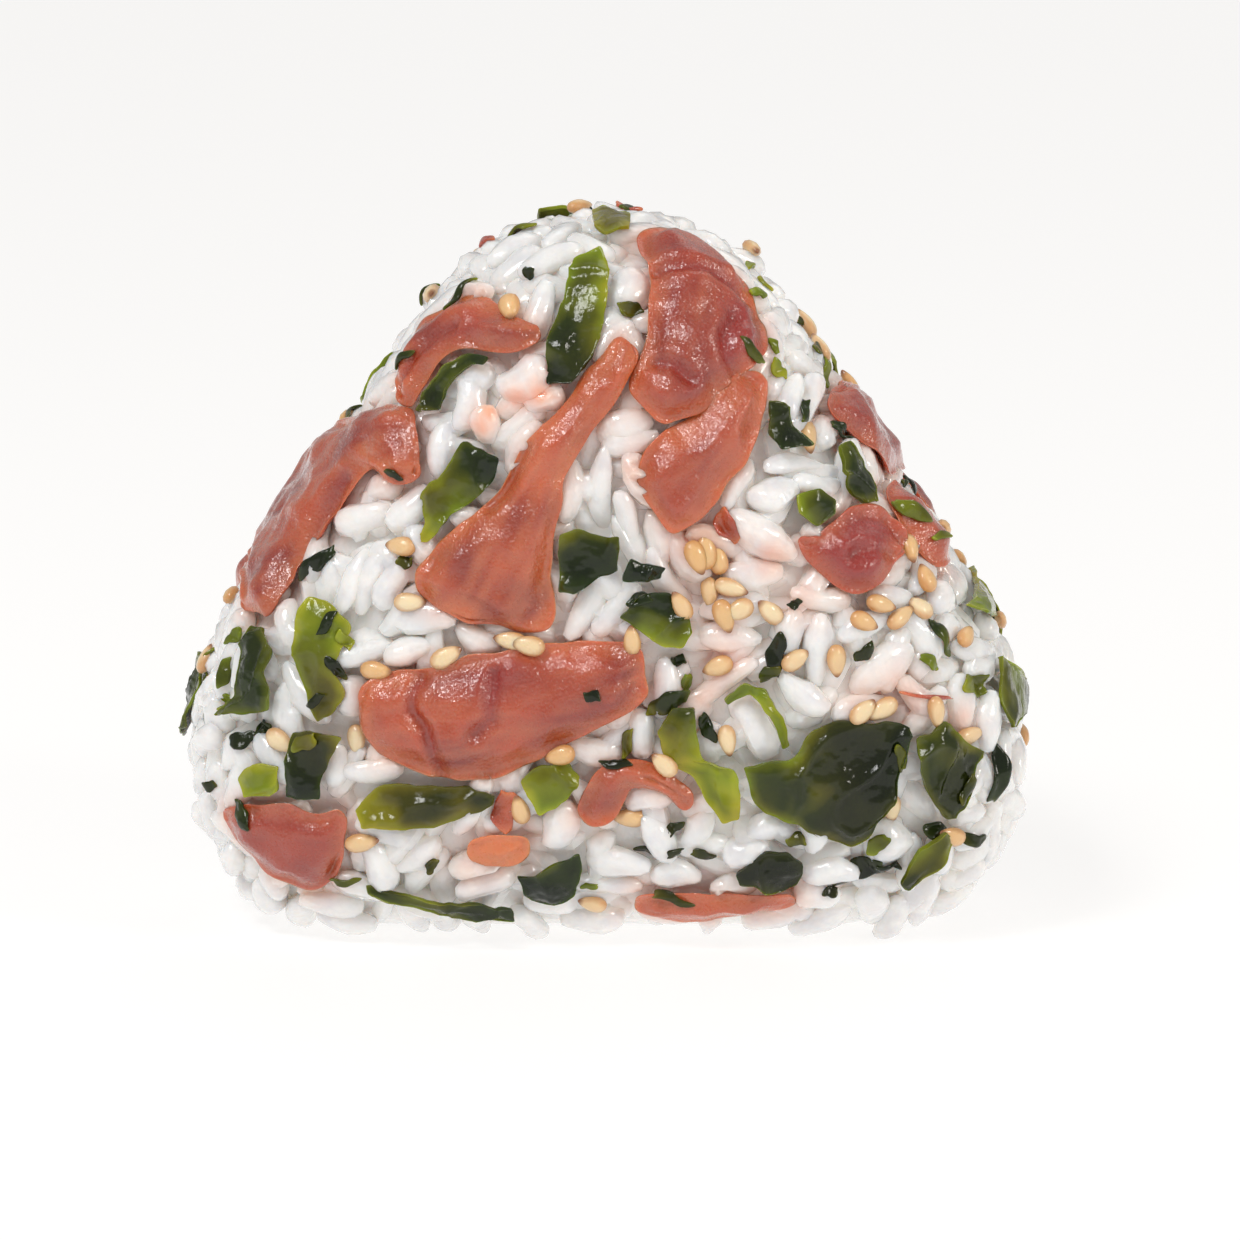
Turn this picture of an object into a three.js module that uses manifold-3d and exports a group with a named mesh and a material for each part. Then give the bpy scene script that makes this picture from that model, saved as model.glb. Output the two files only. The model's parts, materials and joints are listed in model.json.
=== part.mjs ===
// A hand-pressed triangular rice ball: cooked short-grain rice mixed with flesh of pickled plum, soaked wakame
// seaweed and toasted sesame. Millimetres, +Z up, origin in the middle of the flat base. The front face looks
// along -Y. The rice is one solid: a smooth core with the grains and seeds that show fused on. Each piece of plum
// and of seaweed is a solid of its own, lying in a bed between the grains, just clear of them and of the core.
import * as THREE from "three";
import { mergeVertices } from "three/addons/utils/BufferGeometryUtils.js";
import Module from "manifold-3d";

// ---- The rice ball's form ----
const HALF_DEPTH = 23; // half of its thickness, front to back
const MIDDLE_HEIGHT = 33; // of the point that all the sides are measured from
const TO_BASE = 35.2; // from that point to the base, before it was pressed flat
const TO_SIDE = 31.1; // from that point to each sloping side
const SIDE_TILT = 33.3; // degrees that a sloping side's normal points above level
const CORNER_POWER = 1.75; // how softly the three sides meet: lower is rounder
const EDGE_POWER = 3.2; // how tightly the faces turn into the sides: higher is boxier
const GRAIN_RISE = 1.2; // how far the outer face of the rice stands off the bare core

// ---- Grains, seeds and the pieces mixed in ----
const GRAIN = { length: 7, width: 3.3, height: 2.9, sides: 5, rings: 3 };
const SEED = { length: 3.3, width: 1.9, height: 1.3 };
const GRAIN_SPACING = 5.4; // least distance between the middles of two grains
const GRAIN_TRIES = 9000; // places looked at for a grain, evenly spread over the ball
const TURN_TRIES = 3; // ways a grain is turned at each before the place is given up
const MOST_GRAINS = 134;
const PLASTIC_RATIO = 1.324717957244746;
const GRAIN_JITTER = 0.05; // how unevenly the grains are spread, as a share of the ball's reach
const SEED_SINK = 0.35; // of a seed's middle into the core
const SEED_REACH = 2.6; // kept free of grains round a seed
const SEEDS_ELSEWHERE = 120; // places looked at for a seed on the sides and the back
const SEED_SHARE = 0.5; // of those places that get one
const FRONT_EDGE = -10; // the front face, whose seeds are drawn one by one, lies before this y
const LOWEST_SEED = 4; // height above the base
const CLEARANCE = 0.33; // between a grain and a piece of plum or leaf
const BED_CLEARANCE = 0.55; // between the bare core and the pieces lying on it
const PLUM_THICKNESS = 2.1;
const PLUM_RIM_SHARE = 0.5; // of that thickness left at a piece's edge
const PLUM_CELL = 2.9; // the size of the cells that a piece's faces are split into
const LEAF_THICKNESS = 0.8;
const LEAF_CELL = 2.8;
const LEAF_WAVE = 0.35; // how far a leaf's waves rise and fall
const LEAF_SHIFT = 0.37; // of a wave's length, from each leaf's waves to the next leaf's
const WELD = 0.002; // points of the rice closer than this are one
const FLOOR_CLEARANCE = 0.5; // between the base and the lowest piece of plum or leaf

// ---- The drawing sheets ----
// A piece is drawn on a square sheet as it is seen from an eye point, and is carried onto the ball along the sight
// lines. A sheet is counted in tenths of a millimetre, right and down from its top left corner.
const TENTH = 0.1;
const SHEET_MIDDLE = 620;
const SHEET_CENTRE = new THREE.Vector3(1.25, 0, 29.8); // the point of the ball behind the sheet's middle
const EYE_DISTANCE = 600;
const EYE_ELEVATION = 10; // degrees above level
const SIGHT_REACH = 60; // of the part of a sight line that is searched, before and behind the sheet's middle
const SEARCH_STEPS = 45;
const WRAP = 1.5; // how far round the edge a place past the outline is carried, for each step past it

// Each row of four numbers is one cross-cut of a piece: x, y on its first edge, then x, y on its second edge.
const FRONT_PLUMS = {
  crown: [[636, 234, 688, 232], [650, 256, 724, 258], [654, 290, 748, 290], [649, 326, 765, 324],
    [645, 362, 765, 352], [626, 390, 728, 376], [666, 424, 700, 408]],
  fold: [[737, 383, 765, 376], [711, 415, 762, 400], [688, 437, 756, 428], [652, 444, 747, 456],
    [636, 470, 724, 480], [650, 506, 710, 504], [672, 530, 690, 522]],
  strip: [[619, 340, 631, 350], [606, 356, 633, 368], [580, 390, 605, 406], [550, 424, 578, 446],
    [520, 458, 560, 476], [496, 502, 556, 512], [456, 532, 548, 550], [418, 570, 548, 592],
    [424, 598, 556, 620], [480, 622, 536, 628]],
  shoulder: [[398, 400, 408, 404], [396, 368, 420, 382], [416, 334, 436, 362], [444, 308, 460, 347],
    [478, 292, 488, 347], [506, 318, 514, 350], [534, 328, 537, 338]],
  flank: [[410, 410, 416, 472], [384, 409, 398, 482], [348, 422, 372, 464], [314, 446, 346, 494],
    [288, 482, 322, 520], [268, 526, 298, 552], [250, 574, 280, 588], [244, 604, 265, 610]],
  middle: [[362, 692, 364, 716], [376, 681, 374, 750], [408, 672, 404, 762], [444, 669, 440, 776],
    [490, 656, 500, 776], [545, 648, 542, 752], [600, 647, 604, 722], [636, 649, 646, 692]],
  corner: [[222, 816, 228, 826], [236, 811, 244, 848], [262, 807, 270, 874], [294, 808, 298, 890],
    [322, 820, 320, 890], [343, 812, 337, 866]],
  low: [[576, 812, 592, 828], [588, 798, 612, 816], [592, 784, 620, 798], [604, 767, 628, 780],
    [636, 762, 650, 780], [664, 772, 664, 790], [678, 788, 676, 802], [690, 798, 686, 808]],
  stub: [[470, 844, 474, 857], [484, 840, 486, 866], [506, 841, 506, 868], [527, 838, 527, 860]],
  right: [[803, 540, 806, 548], [822, 542, 824, 568], [842, 516, 838, 592], [856, 502, 862, 589],
    [880, 513, 878, 586], [897, 524, 890, 560], [904, 536, 900, 550]],
  brow: [[842, 386, 832, 400], [866, 392, 840, 416], [884, 414, 856, 430], [897, 438, 874, 448],
    [912, 462, 893, 467]],
  seam: [[899, 482, 890, 488], [921, 508, 906, 518], [941, 536, 924, 546], [952, 556, 938, 564]],
  foot: [[640, 896, 637, 914], [664, 905, 662, 918], [702, 896, 700, 920], [738, 900, 736, 918],
    [772, 896, 772, 910], [794, 898, 793, 906]],
};
const FRONT_LEAVES = {
  top: [[592, 214, 594, 226], [604, 210, 606, 231], [618, 211, 618, 232], [630, 218, 629, 228]],
  ribbon: [[574, 262, 602, 251], [566, 280, 611, 270], [563, 300, 603, 300], [557, 320, 602, 322],
    [548, 338, 600, 342], [545, 362, 592, 358], [543, 384, 570, 382]],
  hook: [[413, 412, 440, 410], [424, 398, 444, 394], [440, 377, 452, 380], [452, 363, 462, 369],
    [470, 355, 476, 367], [490, 357, 486, 366]],
  wing: [[462, 442, 500, 459], [452, 462, 500, 470], [437, 482, 488, 488], [420, 495, 474, 500],
    [428, 512, 456, 512], [420, 530, 438, 530], [414, 543, 428, 542]],
  frill: [[313, 598, 327, 599], [303, 618, 347, 618], [293, 640, 350, 643], [295, 662, 330, 656],
    [300, 682, 338, 678], [307, 696, 345, 698], [318, 722, 334, 716]],
  far: [[255, 626, 266, 628], [248, 640, 276, 646], [239, 656, 266, 662], [242, 680, 268, 682],
    [236, 700, 274, 698], [216, 716, 270, 713]],
  pleat: [[558, 534, 558, 592], [570, 522, 570, 598], [586, 536, 586, 580], [604, 534, 606, 574],
    [620, 537, 618, 570]],
  pleat_end: [[632, 556, 622, 580], [644, 562, 642, 579], [666, 565, 661, 578]],
  kite: [[620, 618, 634, 628], [634, 602, 650, 639], [646, 590, 668, 650], [664, 589, 682, 647],
    [676, 602, 692, 642], [687, 614, 693, 630]],
  drape: [[290, 730, 344, 732], [290, 746, 336, 750], [288, 764, 324, 764], [290, 782, 324, 782],
    [288, 796, 322, 798]],
  chip: [[238, 780, 250, 795], [250, 767, 262, 796], [264, 760, 271, 795], [278, 766, 279, 790]],
  boat: [[354, 808, 360, 824], [374, 789, 376, 827], [400, 787, 392, 822], [424, 785, 410, 836],
    [448, 788, 442, 823], [474, 787, 472, 814], [495, 797, 492, 805]],
  shell: [[521, 780, 523, 788], [534, 766, 534, 815], [554, 762, 552, 810], [572, 765, 570, 798],
    [580, 778, 578, 786]],
  lobe: [[674, 706, 694, 709], [657, 730, 697, 732], [665, 757, 704, 763], [694, 780, 738, 768],
    [706, 804, 740, 792], [722, 821, 739, 817]],
  arc: [[724, 700, 727, 706], [740, 684, 746, 694], [757, 681, 755, 694], [774, 700, 766, 708],
    [784, 722, 776, 728], [788, 744, 782, 748]],
  cape: [[747, 766, 755, 804], [770, 760, 774, 816], [794, 756, 800, 824], [814, 730, 822, 839],
    [842, 720, 850, 849], [876, 724, 872, 832], [897, 723, 892, 798], [908, 726, 904, 762]],
  wrap: [[917, 741, 917, 772], [931, 734, 928, 797], [945, 718, 945, 818], [962, 738, 962, 806],
    [982, 750, 974, 778]],
  slate: [[517, 879, 523, 892], [536, 870, 534, 904], [558, 861, 560, 904], [582, 852, 577, 892]],
  hem: [[366, 886, 368, 891], [400, 896, 400, 905], [440, 899, 440, 911], [480, 899, 482, 914],
    [512, 904, 514, 914]],
  patch: [[736, 870, 738, 878], [764, 852, 765, 886], [786, 851, 786, 889], [804, 864, 798, 885]],
  flag: [[899, 879, 908, 886], [914, 858, 930, 874], [928, 842, 942, 855], [942, 830, 950, 839]],
  ear: [[972, 568, 968, 603], [988, 568, 984, 615], [1004, 588, 1002, 616]],
  blade: [[997, 657, 1001, 657], [1002, 678, 1020, 678], [1000, 704, 1028, 704], [1008, 727, 1014, 727]],
  knot: [[767, 402, 785, 402], [769, 420, 787, 421], [769, 442, 799, 427], [779, 452, 812, 446]],
  cap: [[797, 494, 798, 514], [810, 488, 811, 526], [824, 491, 824, 526], [835, 500, 832, 514]],
  sash: [[838, 446, 847, 446], [839, 470, 858, 462], [848, 482, 872, 474], [850, 492, 876, 486],
    [864, 500, 876, 502]],
};

// Pieces on the faces that turn away, each face drawn from its own side. azimuth: the eye's turn about +Z from the
// front, in degrees.
const OTHER_PIECES = [
  { azimuth: 180, plums: {
    back_a: [[526, 330, 640, 306], [500, 380, 660, 350], [474, 430, 640, 420], [458, 480, 600, 480],
      [476, 524, 560, 530]],
    back_b: [[700, 600, 704, 660], [750, 590, 760, 680], [810, 585, 830, 700], [870, 600, 880, 690],
      [915, 630, 910, 670]],
    back_c: [[330, 700, 340, 760], [390, 680, 400, 790], [450, 690, 450, 800], [500, 710, 495, 780]],
    back_d: [[716, 416, 726, 436], [750, 400, 762, 430], [800, 410, 796, 440], [836, 440, 824, 466]],
  }, leaves: {
    back_e: [[420, 560, 430, 610], [470, 545, 480, 640], [520, 560, 530, 650], [560, 590, 556, 630]],
    back_f: [[640, 500, 650, 540], [690, 490, 700, 560], [740, 500, 745, 560], [780, 530, 775, 560]],
    back_g: [[560, 720, 570, 780], [610, 705, 620, 810], [660, 720, 665, 800], [690, 750, 690, 780]],
    back_h: [[660, 240, 700, 242], [662, 270, 716, 275], [672, 320, 706, 324]],
    back_i: [[760, 760, 770, 800], [810, 745, 820, 830], [860, 750, 870, 820], [900, 770, 896, 800]],
    back_j: [[340, 590, 366, 580], [350, 640, 386, 630], [366, 670, 392, 664]],
  } },
  { azimuth: 90, plums: {
    right_a: [[700, 560, 716, 600], [740, 520, 760, 600], [780, 530, 800, 590], [812, 560, 822, 584]],
  }, leaves: {
    right_b: [[690, 690, 700, 750], [740, 670, 750, 770], [790, 690, 795, 750]],
    right_c: [[730, 400, 744, 440], [770, 380, 784, 440], [804, 400, 806, 430]],
  } },
  { azimuth: -90, plums: {
    left_a: [[420, 620, 426, 680], [460, 604, 470, 700], [510, 614, 510, 690], [540, 632, 536, 670]],
  }, leaves: {
    left_b: [[440, 400, 456, 450], [480, 380, 496, 460], [520, 400, 522, 446]],
    left_c: [[530, 760, 540, 800], [580, 740, 590, 830], [630, 760, 632, 810]],
  } },
];

// Seeds on the front, in tenths of a millimetre on the sheet, with the turn of their length from level, in degrees.
const FRONT_SEEDS = [
  [400, 546, 5], [409, 602, 0], [510, 308, 80], [376, 671, 5], [446, 657, -30], [510, 641, 10], [528, 645, 10],
  [278, 742, 30], [353, 744, 85], [632, 640, 85], [560, 756, -15], [664, 762, 40], [629, 822, 0],
  [520, 810, 75], [592, 908, 15], [696, 558, 70], [706, 552, 88], [719, 560, 80], [710, 594, 85],
  [732, 588, 15], [724, 616, 70], [738, 610, -25], [770, 612, 40], [681, 604, 60], [718, 668, -20],
  [796, 660, -30], [838, 662, 85], [864, 622, 25], [882, 604, 15], [904, 616, -40], [924, 606, 40],
  [912, 548, 80], [926, 578, 70], [972, 634, -60], [864, 712, -45], [884, 711, -30], [935, 712, 80],
  [976, 736, -20], [895, 812, 80], [362, 843, -10], [818, 432, 75], [952, 836, 20], [728, 742, 80],
];

// ---- The ball's surface ----
const centre = new THREE.Vector3(0, 0, MIDDLE_HEIGHT);
const tilt = THREE.MathUtils.degToRad(SIDE_TILT);

// 1 on the outer face of the rice, less inside it, and growing in proportion along any line from the middle.
function gauge(point) {
  const { x, y } = point;
  const z = point.z - MIDDLE_HEIGHT;
  const sides = [-z / TO_BASE, 1, -1].map((side, i) =>
    i ? (side * x * Math.cos(tilt) + z * Math.sin(tilt)) / TO_SIDE : side);
  const outline = sides.reduce((sum, d) => sum + Math.max(d, 0) ** CORNER_POWER, 0) ** (1 / CORNER_POWER);
  return (outline ** EDGE_POWER + Math.abs(y / HALF_DEPTH) ** EDGE_POWER) ** (1 / EDGE_POWER);
}

// The point of the outer face on the line from the middle through a point.
function onFace(point) {
  return point.clone().sub(centre).divideScalar(gauge(point)).add(centre);
}

function outward(point) {
  const step = 0.05;
  const axes = [[step, 0, 0], [0, step, 0], [0, 0, step]].map((a) => new THREE.Vector3(...a));
  const slopes = axes.map((a) => gauge(point.clone().add(a)) - gauge(point.clone().sub(a)));
  return new THREE.Vector3(...slopes).normalize();
}

// A sheet seen from an azimuth: returns the function that carries a place on the sheet onto the outer face. A place
// past the ball's outline goes on round the edge.
function sheet(azimuth) {
  const a = THREE.MathUtils.degToRad(azimuth);
  const e = THREE.MathUtils.degToRad(EYE_ELEVATION);
  const back = new THREE.Vector3(Math.sin(a) * Math.cos(e), -Math.cos(a) * Math.cos(e), Math.sin(e));
  const right = new THREE.Vector3(Math.cos(a), Math.sin(a), 0);
  const up = back.clone().cross(right);
  const eye = SHEET_CENTRE.clone().addScaledVector(back, EYE_DISTANCE);
  return (x, y) => {
    const mark = SHEET_CENTRE.clone()
      .addScaledVector(right, (x - SHEET_MIDDLE) * TENTH)
      .addScaledVector(up, (SHEET_MIDDLE - y) * TENTH);
    const along = mark.sub(eye).normalize();
    const at = (s) => eye.clone().addScaledVector(along, s);
    let near = EYE_DISTANCE - SIGHT_REACH;
    let far = EYE_DISTANCE + SIGHT_REACH;
    for (let i = 0; i < SEARCH_STEPS; i++) {
      const third = (far - near) / 3;
      if (gauge(at(near + third)) < gauge(at(far - third))) far -= third;
      else near += third;
    }
    const nearest = (near + far) / 2;
    const excess = gauge(at(nearest)) - 1;
    if (excess > 0) return onFace(at(nearest + WRAP * excess * at(nearest).distanceTo(centre)));
    let outside = EYE_DISTANCE - SIGHT_REACH;
    let inside = nearest;
    for (let i = 0; i < SEARCH_STEPS; i++) {
      const half = (outside + inside) / 2;
      if (gauge(at(half)) > 1) outside = half;
      else inside = half;
    }
    return at(inside);
  };
}

// ---- Solids ----
const wasm = await Module();
wasm.setup();

function solidOf(geometry) {
  const bare = new THREE.BufferGeometry().setAttribute("position", geometry.getAttribute("position"));
  if (geometry.index) bare.setIndex(geometry.index);
  const merged = mergeVertices(bare, 1e-4);
  return new wasm.Manifold(new wasm.Mesh({
    numProp: 3,
    vertProperties: Float32Array.from(merged.attributes.position.array),
    triVerts: Uint32Array.from(merged.index.array),
  }));
}

function geometryOf(solid) {
  const mesh = solid.getMesh();
  const places = new Float32Array(mesh.numVert * 3);
  for (let i = 0; i < mesh.numVert; i++) {
    places.set(mesh.vertProperties.subarray(i * mesh.numProp, i * mesh.numProp + 3), i * 3);
  }
  return new THREE.BufferGeometry()
    .setAttribute("position", new THREE.BufferAttribute(places, 3))
    .setIndex(new THREE.BufferAttribute(mesh.triVerts, 1));
}

// The largest of the closed surfaces in a geometry: a pocket sealed between grains is a surface of its own, and is
// filled by leaving it out.
function largestShell(geometry) {
  const { index } = geometry;
  const shellOf = Array.from({ length: geometry.attributes.position.count }, (_, i) => i);
  const find = (i) => {
    while (shellOf[i] !== i) {
      shellOf[i] = shellOf[shellOf[i]];
      i = shellOf[i];
    }
    return i;
  };
  for (let i = 0; i < index.count; i += 3) {
    shellOf[find(index.getX(i))] = find(index.getX(i + 1));
    shellOf[find(index.getX(i + 2))] = find(index.getX(i + 1));
  }
  const faces = new Map();
  for (let i = 0; i < index.count; i += 3) {
    const corners = [0, 1, 2].map((k) => index.getX(i + k));
    const shell = find(corners[0]);
    if (new Set(corners).size === 3) faces.set(shell, (faces.get(shell) ?? []).concat(corners));
  }
  const largest = [...faces.values()].sort((a, b) => b.length - a.length)[0];
  return geometry.clone().setIndex(largest);
}

// A closed slab of columns x rows cells. place(s, t, top) gives the point at s along and t across, both 0 to 1.
// Its two faces are split into triangles alike.
function slab(columns, rows, place) {
  const plane = new THREE.PlaneGeometry(1, 1, columns, rows);
  const count = plane.attributes.position.count;
  const places = [];
  for (const top of [true, false]) {
    for (let i = 0; i < count; i++) {
      const s = plane.attributes.position.getX(i) + 0.5;
      const t = 0.5 - plane.attributes.position.getY(i);
      places.push(...place(s, t, top).toArray());
    }
  }
  const faces = Array.from(plane.index.array);
  const index = [...faces];
  for (let i = 0; i < faces.length; i += 3) index.push(faces[i] + count, faces[i + 2] + count, faces[i + 1] + count);
  const border = [];
  for (let c = 0; c < columns; c++) border.push(c);
  for (let r = 0; r < rows; r++) border.push(r * (columns + 1) + columns);
  for (let c = columns; c > 0; c--) border.push(rows * (columns + 1) + c);
  for (let r = rows; r > 0; r--) border.push(r * (columns + 1));
  border.forEach((from, i) => {
    const to = border[(i + 1) % border.length];
    index.push(from, to, from + count, to, to + count, from + count);
  });
  return new THREE.BufferGeometry()
    .setAttribute("position", new THREE.BufferAttribute(new Float32Array(places), 3))
    .setIndex(index);
}

// A smooth line through one edge of a piece's cross-cuts.
function edgeOf(cuts, side) {
  return new THREE.SplineCurve(cuts.map((cut) => new THREE.Vector2(cut[2 * side], cut[2 * side + 1])));
}

// The length of an edge once it lies on the ball.
function lengthOf(edge, laid) {
  const points = Array.from({ length: 9 }, (_, i) => laid(edge, i / 8));
  return points.slice(1).reduce((sum, point, i) => sum + point.distanceTo(points[i]), 0);
}

// The area a piece covers on its sheet: positive where its cuts run so that its faces point out.
function turnOf(cuts) {
  const loop = [...cuts.map((c) => [c[0], c[1]]), ...cuts.map((c) => [c[2], c[3]]).reverse()];
  return loop.reduce((sum, [x, y], i) => {
    const [nextX, nextY] = loop[(i + 1) % loop.length];
    return sum + x * nextY - nextX * y;
  }, 0);
}

// A piece lying on the ball. lift(s, t, top) is its height over the outer face of the rice.
function laidPiece(cuts, carry, cell, lift) {
  const ordered = turnOf(cuts) > 0 ? cuts : [...cuts].reverse();
  const first = edgeOf(ordered, 1);
  const second = edgeOf(ordered, 0);
  const laid = (edge, s) => carry(...edge.getPoint(s).toArray());
  const width = Math.max(...ordered.map(([a, b, c, d]) => carry(a, b).distanceTo(carry(c, d))));
  const length = Math.max(...[first, second].map((edge) => lengthOf(edge, laid)));
  const columns = Math.max(2, Math.round(length / cell));
  const rows = Math.max(2, Math.round(width / cell));
  return slab(columns, rows, (s, t, top) => {
    const face = onFace(laid(second, s).lerp(laid(first, s), t));
    const point = face.clone().addScaledVector(outward(face), lift(s, t, top));
    point.z = Math.max(point.z, FLOOR_CLEARANCE + (top ? LEAF_THICKNESS : 0));
    return point;
  });
}

// Plum flesh: thick in the middle, rounded down to thin edges.
function plumLift(s, t, top) {
  const bed = BED_CLEARANCE - GRAIN_RISE;
  const rim = Math.min(s, 1 - s, t, 1 - t) < 0.01;
  return top ? bed + PLUM_THICKNESS * (rim ? PLUM_RIM_SHARE : 1) : bed;
}

// A leaf: one thickness all over, rising and falling in waves that differ from leaf to leaf.
function leafLift(phase) {
  return (s, t, top) => {
    const wave = LEAF_WAVE * (1 + Math.sin(2 * Math.PI * (s + LEAF_SHIFT * phase)) * Math.cos(Math.PI * (t + phase)));
    return BED_CLEARANCE - GRAIN_RISE + wave + (top ? LEAF_THICKNESS : 0);
  };
}

// Pseudo-random numbers from 0 to 1 that are the same on every run.
function randomFrom(seed) {
  let state = seed;
  return () => {
    state = (state * 1664525 + 1013904223) % 4294967296;
    return state / 4294967296;
  };
}

// Directions spread evenly over a sphere, each falling in the widest gap that the ones before it leave. The steps
// are the first two powers of the reciprocal of the plastic ratio, which fill a square evenly.
function spread(count) {
  const step = 1 / PLASTIC_RATIO;
  return Array.from({ length: count }, (_, i) => {
    const z = 1 - 2 * ((i * step) % 1);
    const turn = 2 * Math.PI * ((i * step * step) % 1);
    const across = Math.sqrt(1 - z * z);
    return new THREE.Vector3(Math.cos(turn) * across, Math.sin(turn) * across, z);
  });
}

// A grain or seed at a point of the outer face, sunk by depth, its length turned by an angle from level.
function laidGrain(shape, face, turn, depth) {
  const up = outward(face);
  const level = new THREE.Vector3(0, 0, 1).cross(up);
  if (level.lengthSq() < 1e-6) level.set(1, 0, 0);
  level.normalize();
  const along = level.applyAxisAngle(up, turn);
  const across = along.clone().cross(up);
  const place = new THREE.Matrix4().makeBasis(across, along, up);
  place.setPosition(face.clone().addScaledVector(up, -depth));
  return shape.clone().applyMatrix4(place);
}

function grainShape({ length, width, height, sides, rings }) {
  return new THREE.SphereGeometry(0.5, sides, rings).scale(width, length, height);
}

function seedShape({ length, width, height }) {
  return new THREE.OctahedronGeometry(0.5).scale(width, length, height);
}

// The bare core: the outer face sunk by the grains' rise, its base pressed flat.
function bareCore() {
  const ball = new THREE.IcosahedronGeometry(1, 6);
  const places = ball.getAttribute("position");
  for (let i = 0; i < places.count; i++) {
    const face = onFace(new THREE.Vector3().fromBufferAttribute(places, i).multiplyScalar(HALF_DEPTH).add(centre));
    const sunk = face.clone().addScaledVector(outward(face), -GRAIN_RISE);
    places.setXYZ(i, ...sunk.toArray());
  }
  return solidOf(ball);
}

function aboveFloor() {
  const side = 200;
  return solidOf(new THREE.BoxGeometry(side, side, side).translate(0, 0, side / 2));
}

// ---- The pieces ----
const plumFlesh = new THREE.MeshStandardMaterial({ color: 0xb65548, roughness: 0.35, metalness: 0 });
const seaweed = new THREE.MeshStandardMaterial({ color: 0x3d4f1c, roughness: 0.2, metalness: 0 });
const cookedRice = new THREE.MeshStandardMaterial({ color: 0xe6e4df, roughness: 0.3, metalness: 0 });

const pieces = []; // { name, geometry, material }

function addPieces(carry, plums, leaves) {
  for (const [name, cuts] of Object.entries(plums)) {
    pieces.push({ name: `plum_${name}`, geometry: laidPiece(cuts, carry, PLUM_CELL, plumLift), material: plumFlesh });
  }
  Object.entries(leaves).forEach(([name, cuts], i) => {
    const geometry = laidPiece(cuts, carry, LEAF_CELL, leafLift(i));
    pieces.push({ name: `seaweed_${name}`, geometry, material: seaweed });
  });
}

addPieces(sheet(0), FRONT_PLUMS, FRONT_LEAVES);
for (const { azimuth, plums, leaves } of OTHER_PIECES) addPieces(sheet(azimuth), plums, leaves);

// ---- The rice ----
function buildRice() {
  const taken = wasm.Manifold.union(pieces.map(({ geometry }) => solidOf(geometry)));
  const random = randomFrom(11);
  const clear = (solid) => solid.minGap(taken, CLEARANCE) >= CLEARANCE;
  const laid = [];
  const spots = [];
  const carry = sheet(0);
  const seed = seedShape(SEED);
  const addSeed = (face, turn) => {
    const solid = solidOf(laidGrain(seed, face, turn, GRAIN_RISE - SEED_SINK));
    if (clear(solid)) {
      laid.push(solid);
      spots.push({ face, reach: SEED_REACH });
    }
  };
  for (const [x, y, turn] of FRONT_SEEDS) addSeed(carry(x, y), THREE.MathUtils.degToRad(90 + turn));
  for (const direction of spread(SEEDS_ELSEWHERE)) {
    const face = onFace(direction.multiplyScalar(HALF_DEPTH).add(centre));
    const wanted = random() < SEED_SHARE;
    if (wanted && face.y > FRONT_EDGE && face.z > LOWEST_SEED) addSeed(face, random() * Math.PI);
  }
  const grain = grainShape(GRAIN);
  let grains = 0;
  for (const direction of spread(GRAIN_TRIES)) {
    direction.x += (random() - 0.5) * GRAIN_JITTER;
    direction.y += (random() - 0.5) * GRAIN_JITTER;
    const turns = Array.from({ length: TURN_TRIES }, () => random() * Math.PI);
    const face = onFace(direction.multiplyScalar(HALF_DEPTH).add(centre));
    if (grains >= MOST_GRAINS) break;
    if (face.z < GRAIN.height) continue;
    if (spots.some((spot) => spot.face.distanceTo(face) < Math.max(spot.reach, GRAIN_SPACING))) continue;
    const ways = turns.map((turn) => solidOf(laidGrain(grain, face, turn, GRAIN.height / 2)));
    const solid = ways.find(clear);
    if (!solid) continue;
    laid.push(solid);
    spots.push({ face, reach: GRAIN_SPACING });
    grains++;
  }
  const whole = geometryOf(wasm.Manifold.union([bareCore(), ...laid]).intersect(aboveFloor()));
  return largestShell(mergeVertices(whole, WELD));
}

const riceBall = new THREE.Group();
pieces.unshift({ name: "rice", geometry: buildRice(), material: cookedRice });
for (const { name, geometry, material } of pieces) {
  const mesh = new THREE.Mesh(geometry, material);
  mesh.name = name;
  riceBall.add(mesh);
}

export default riceBall;
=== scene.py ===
"""A hand-pressed triangular rice ball mixed with pickled plum, wakame seaweed and toasted sesame seeds.

The rice is remade as loose grains over a core of its own. The plum and the seaweed are the frame's solids, made
finer, creased and frayed. Everything is in metres, in the frame's own axes: +Z up, the front face towards -Y.
"""

import json
import math
import random

import bmesh
import bpy
import numpy as np
from mathutils import Matrix, Vector, noise
from mathutils.bvhtree import BVHTree

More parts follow.
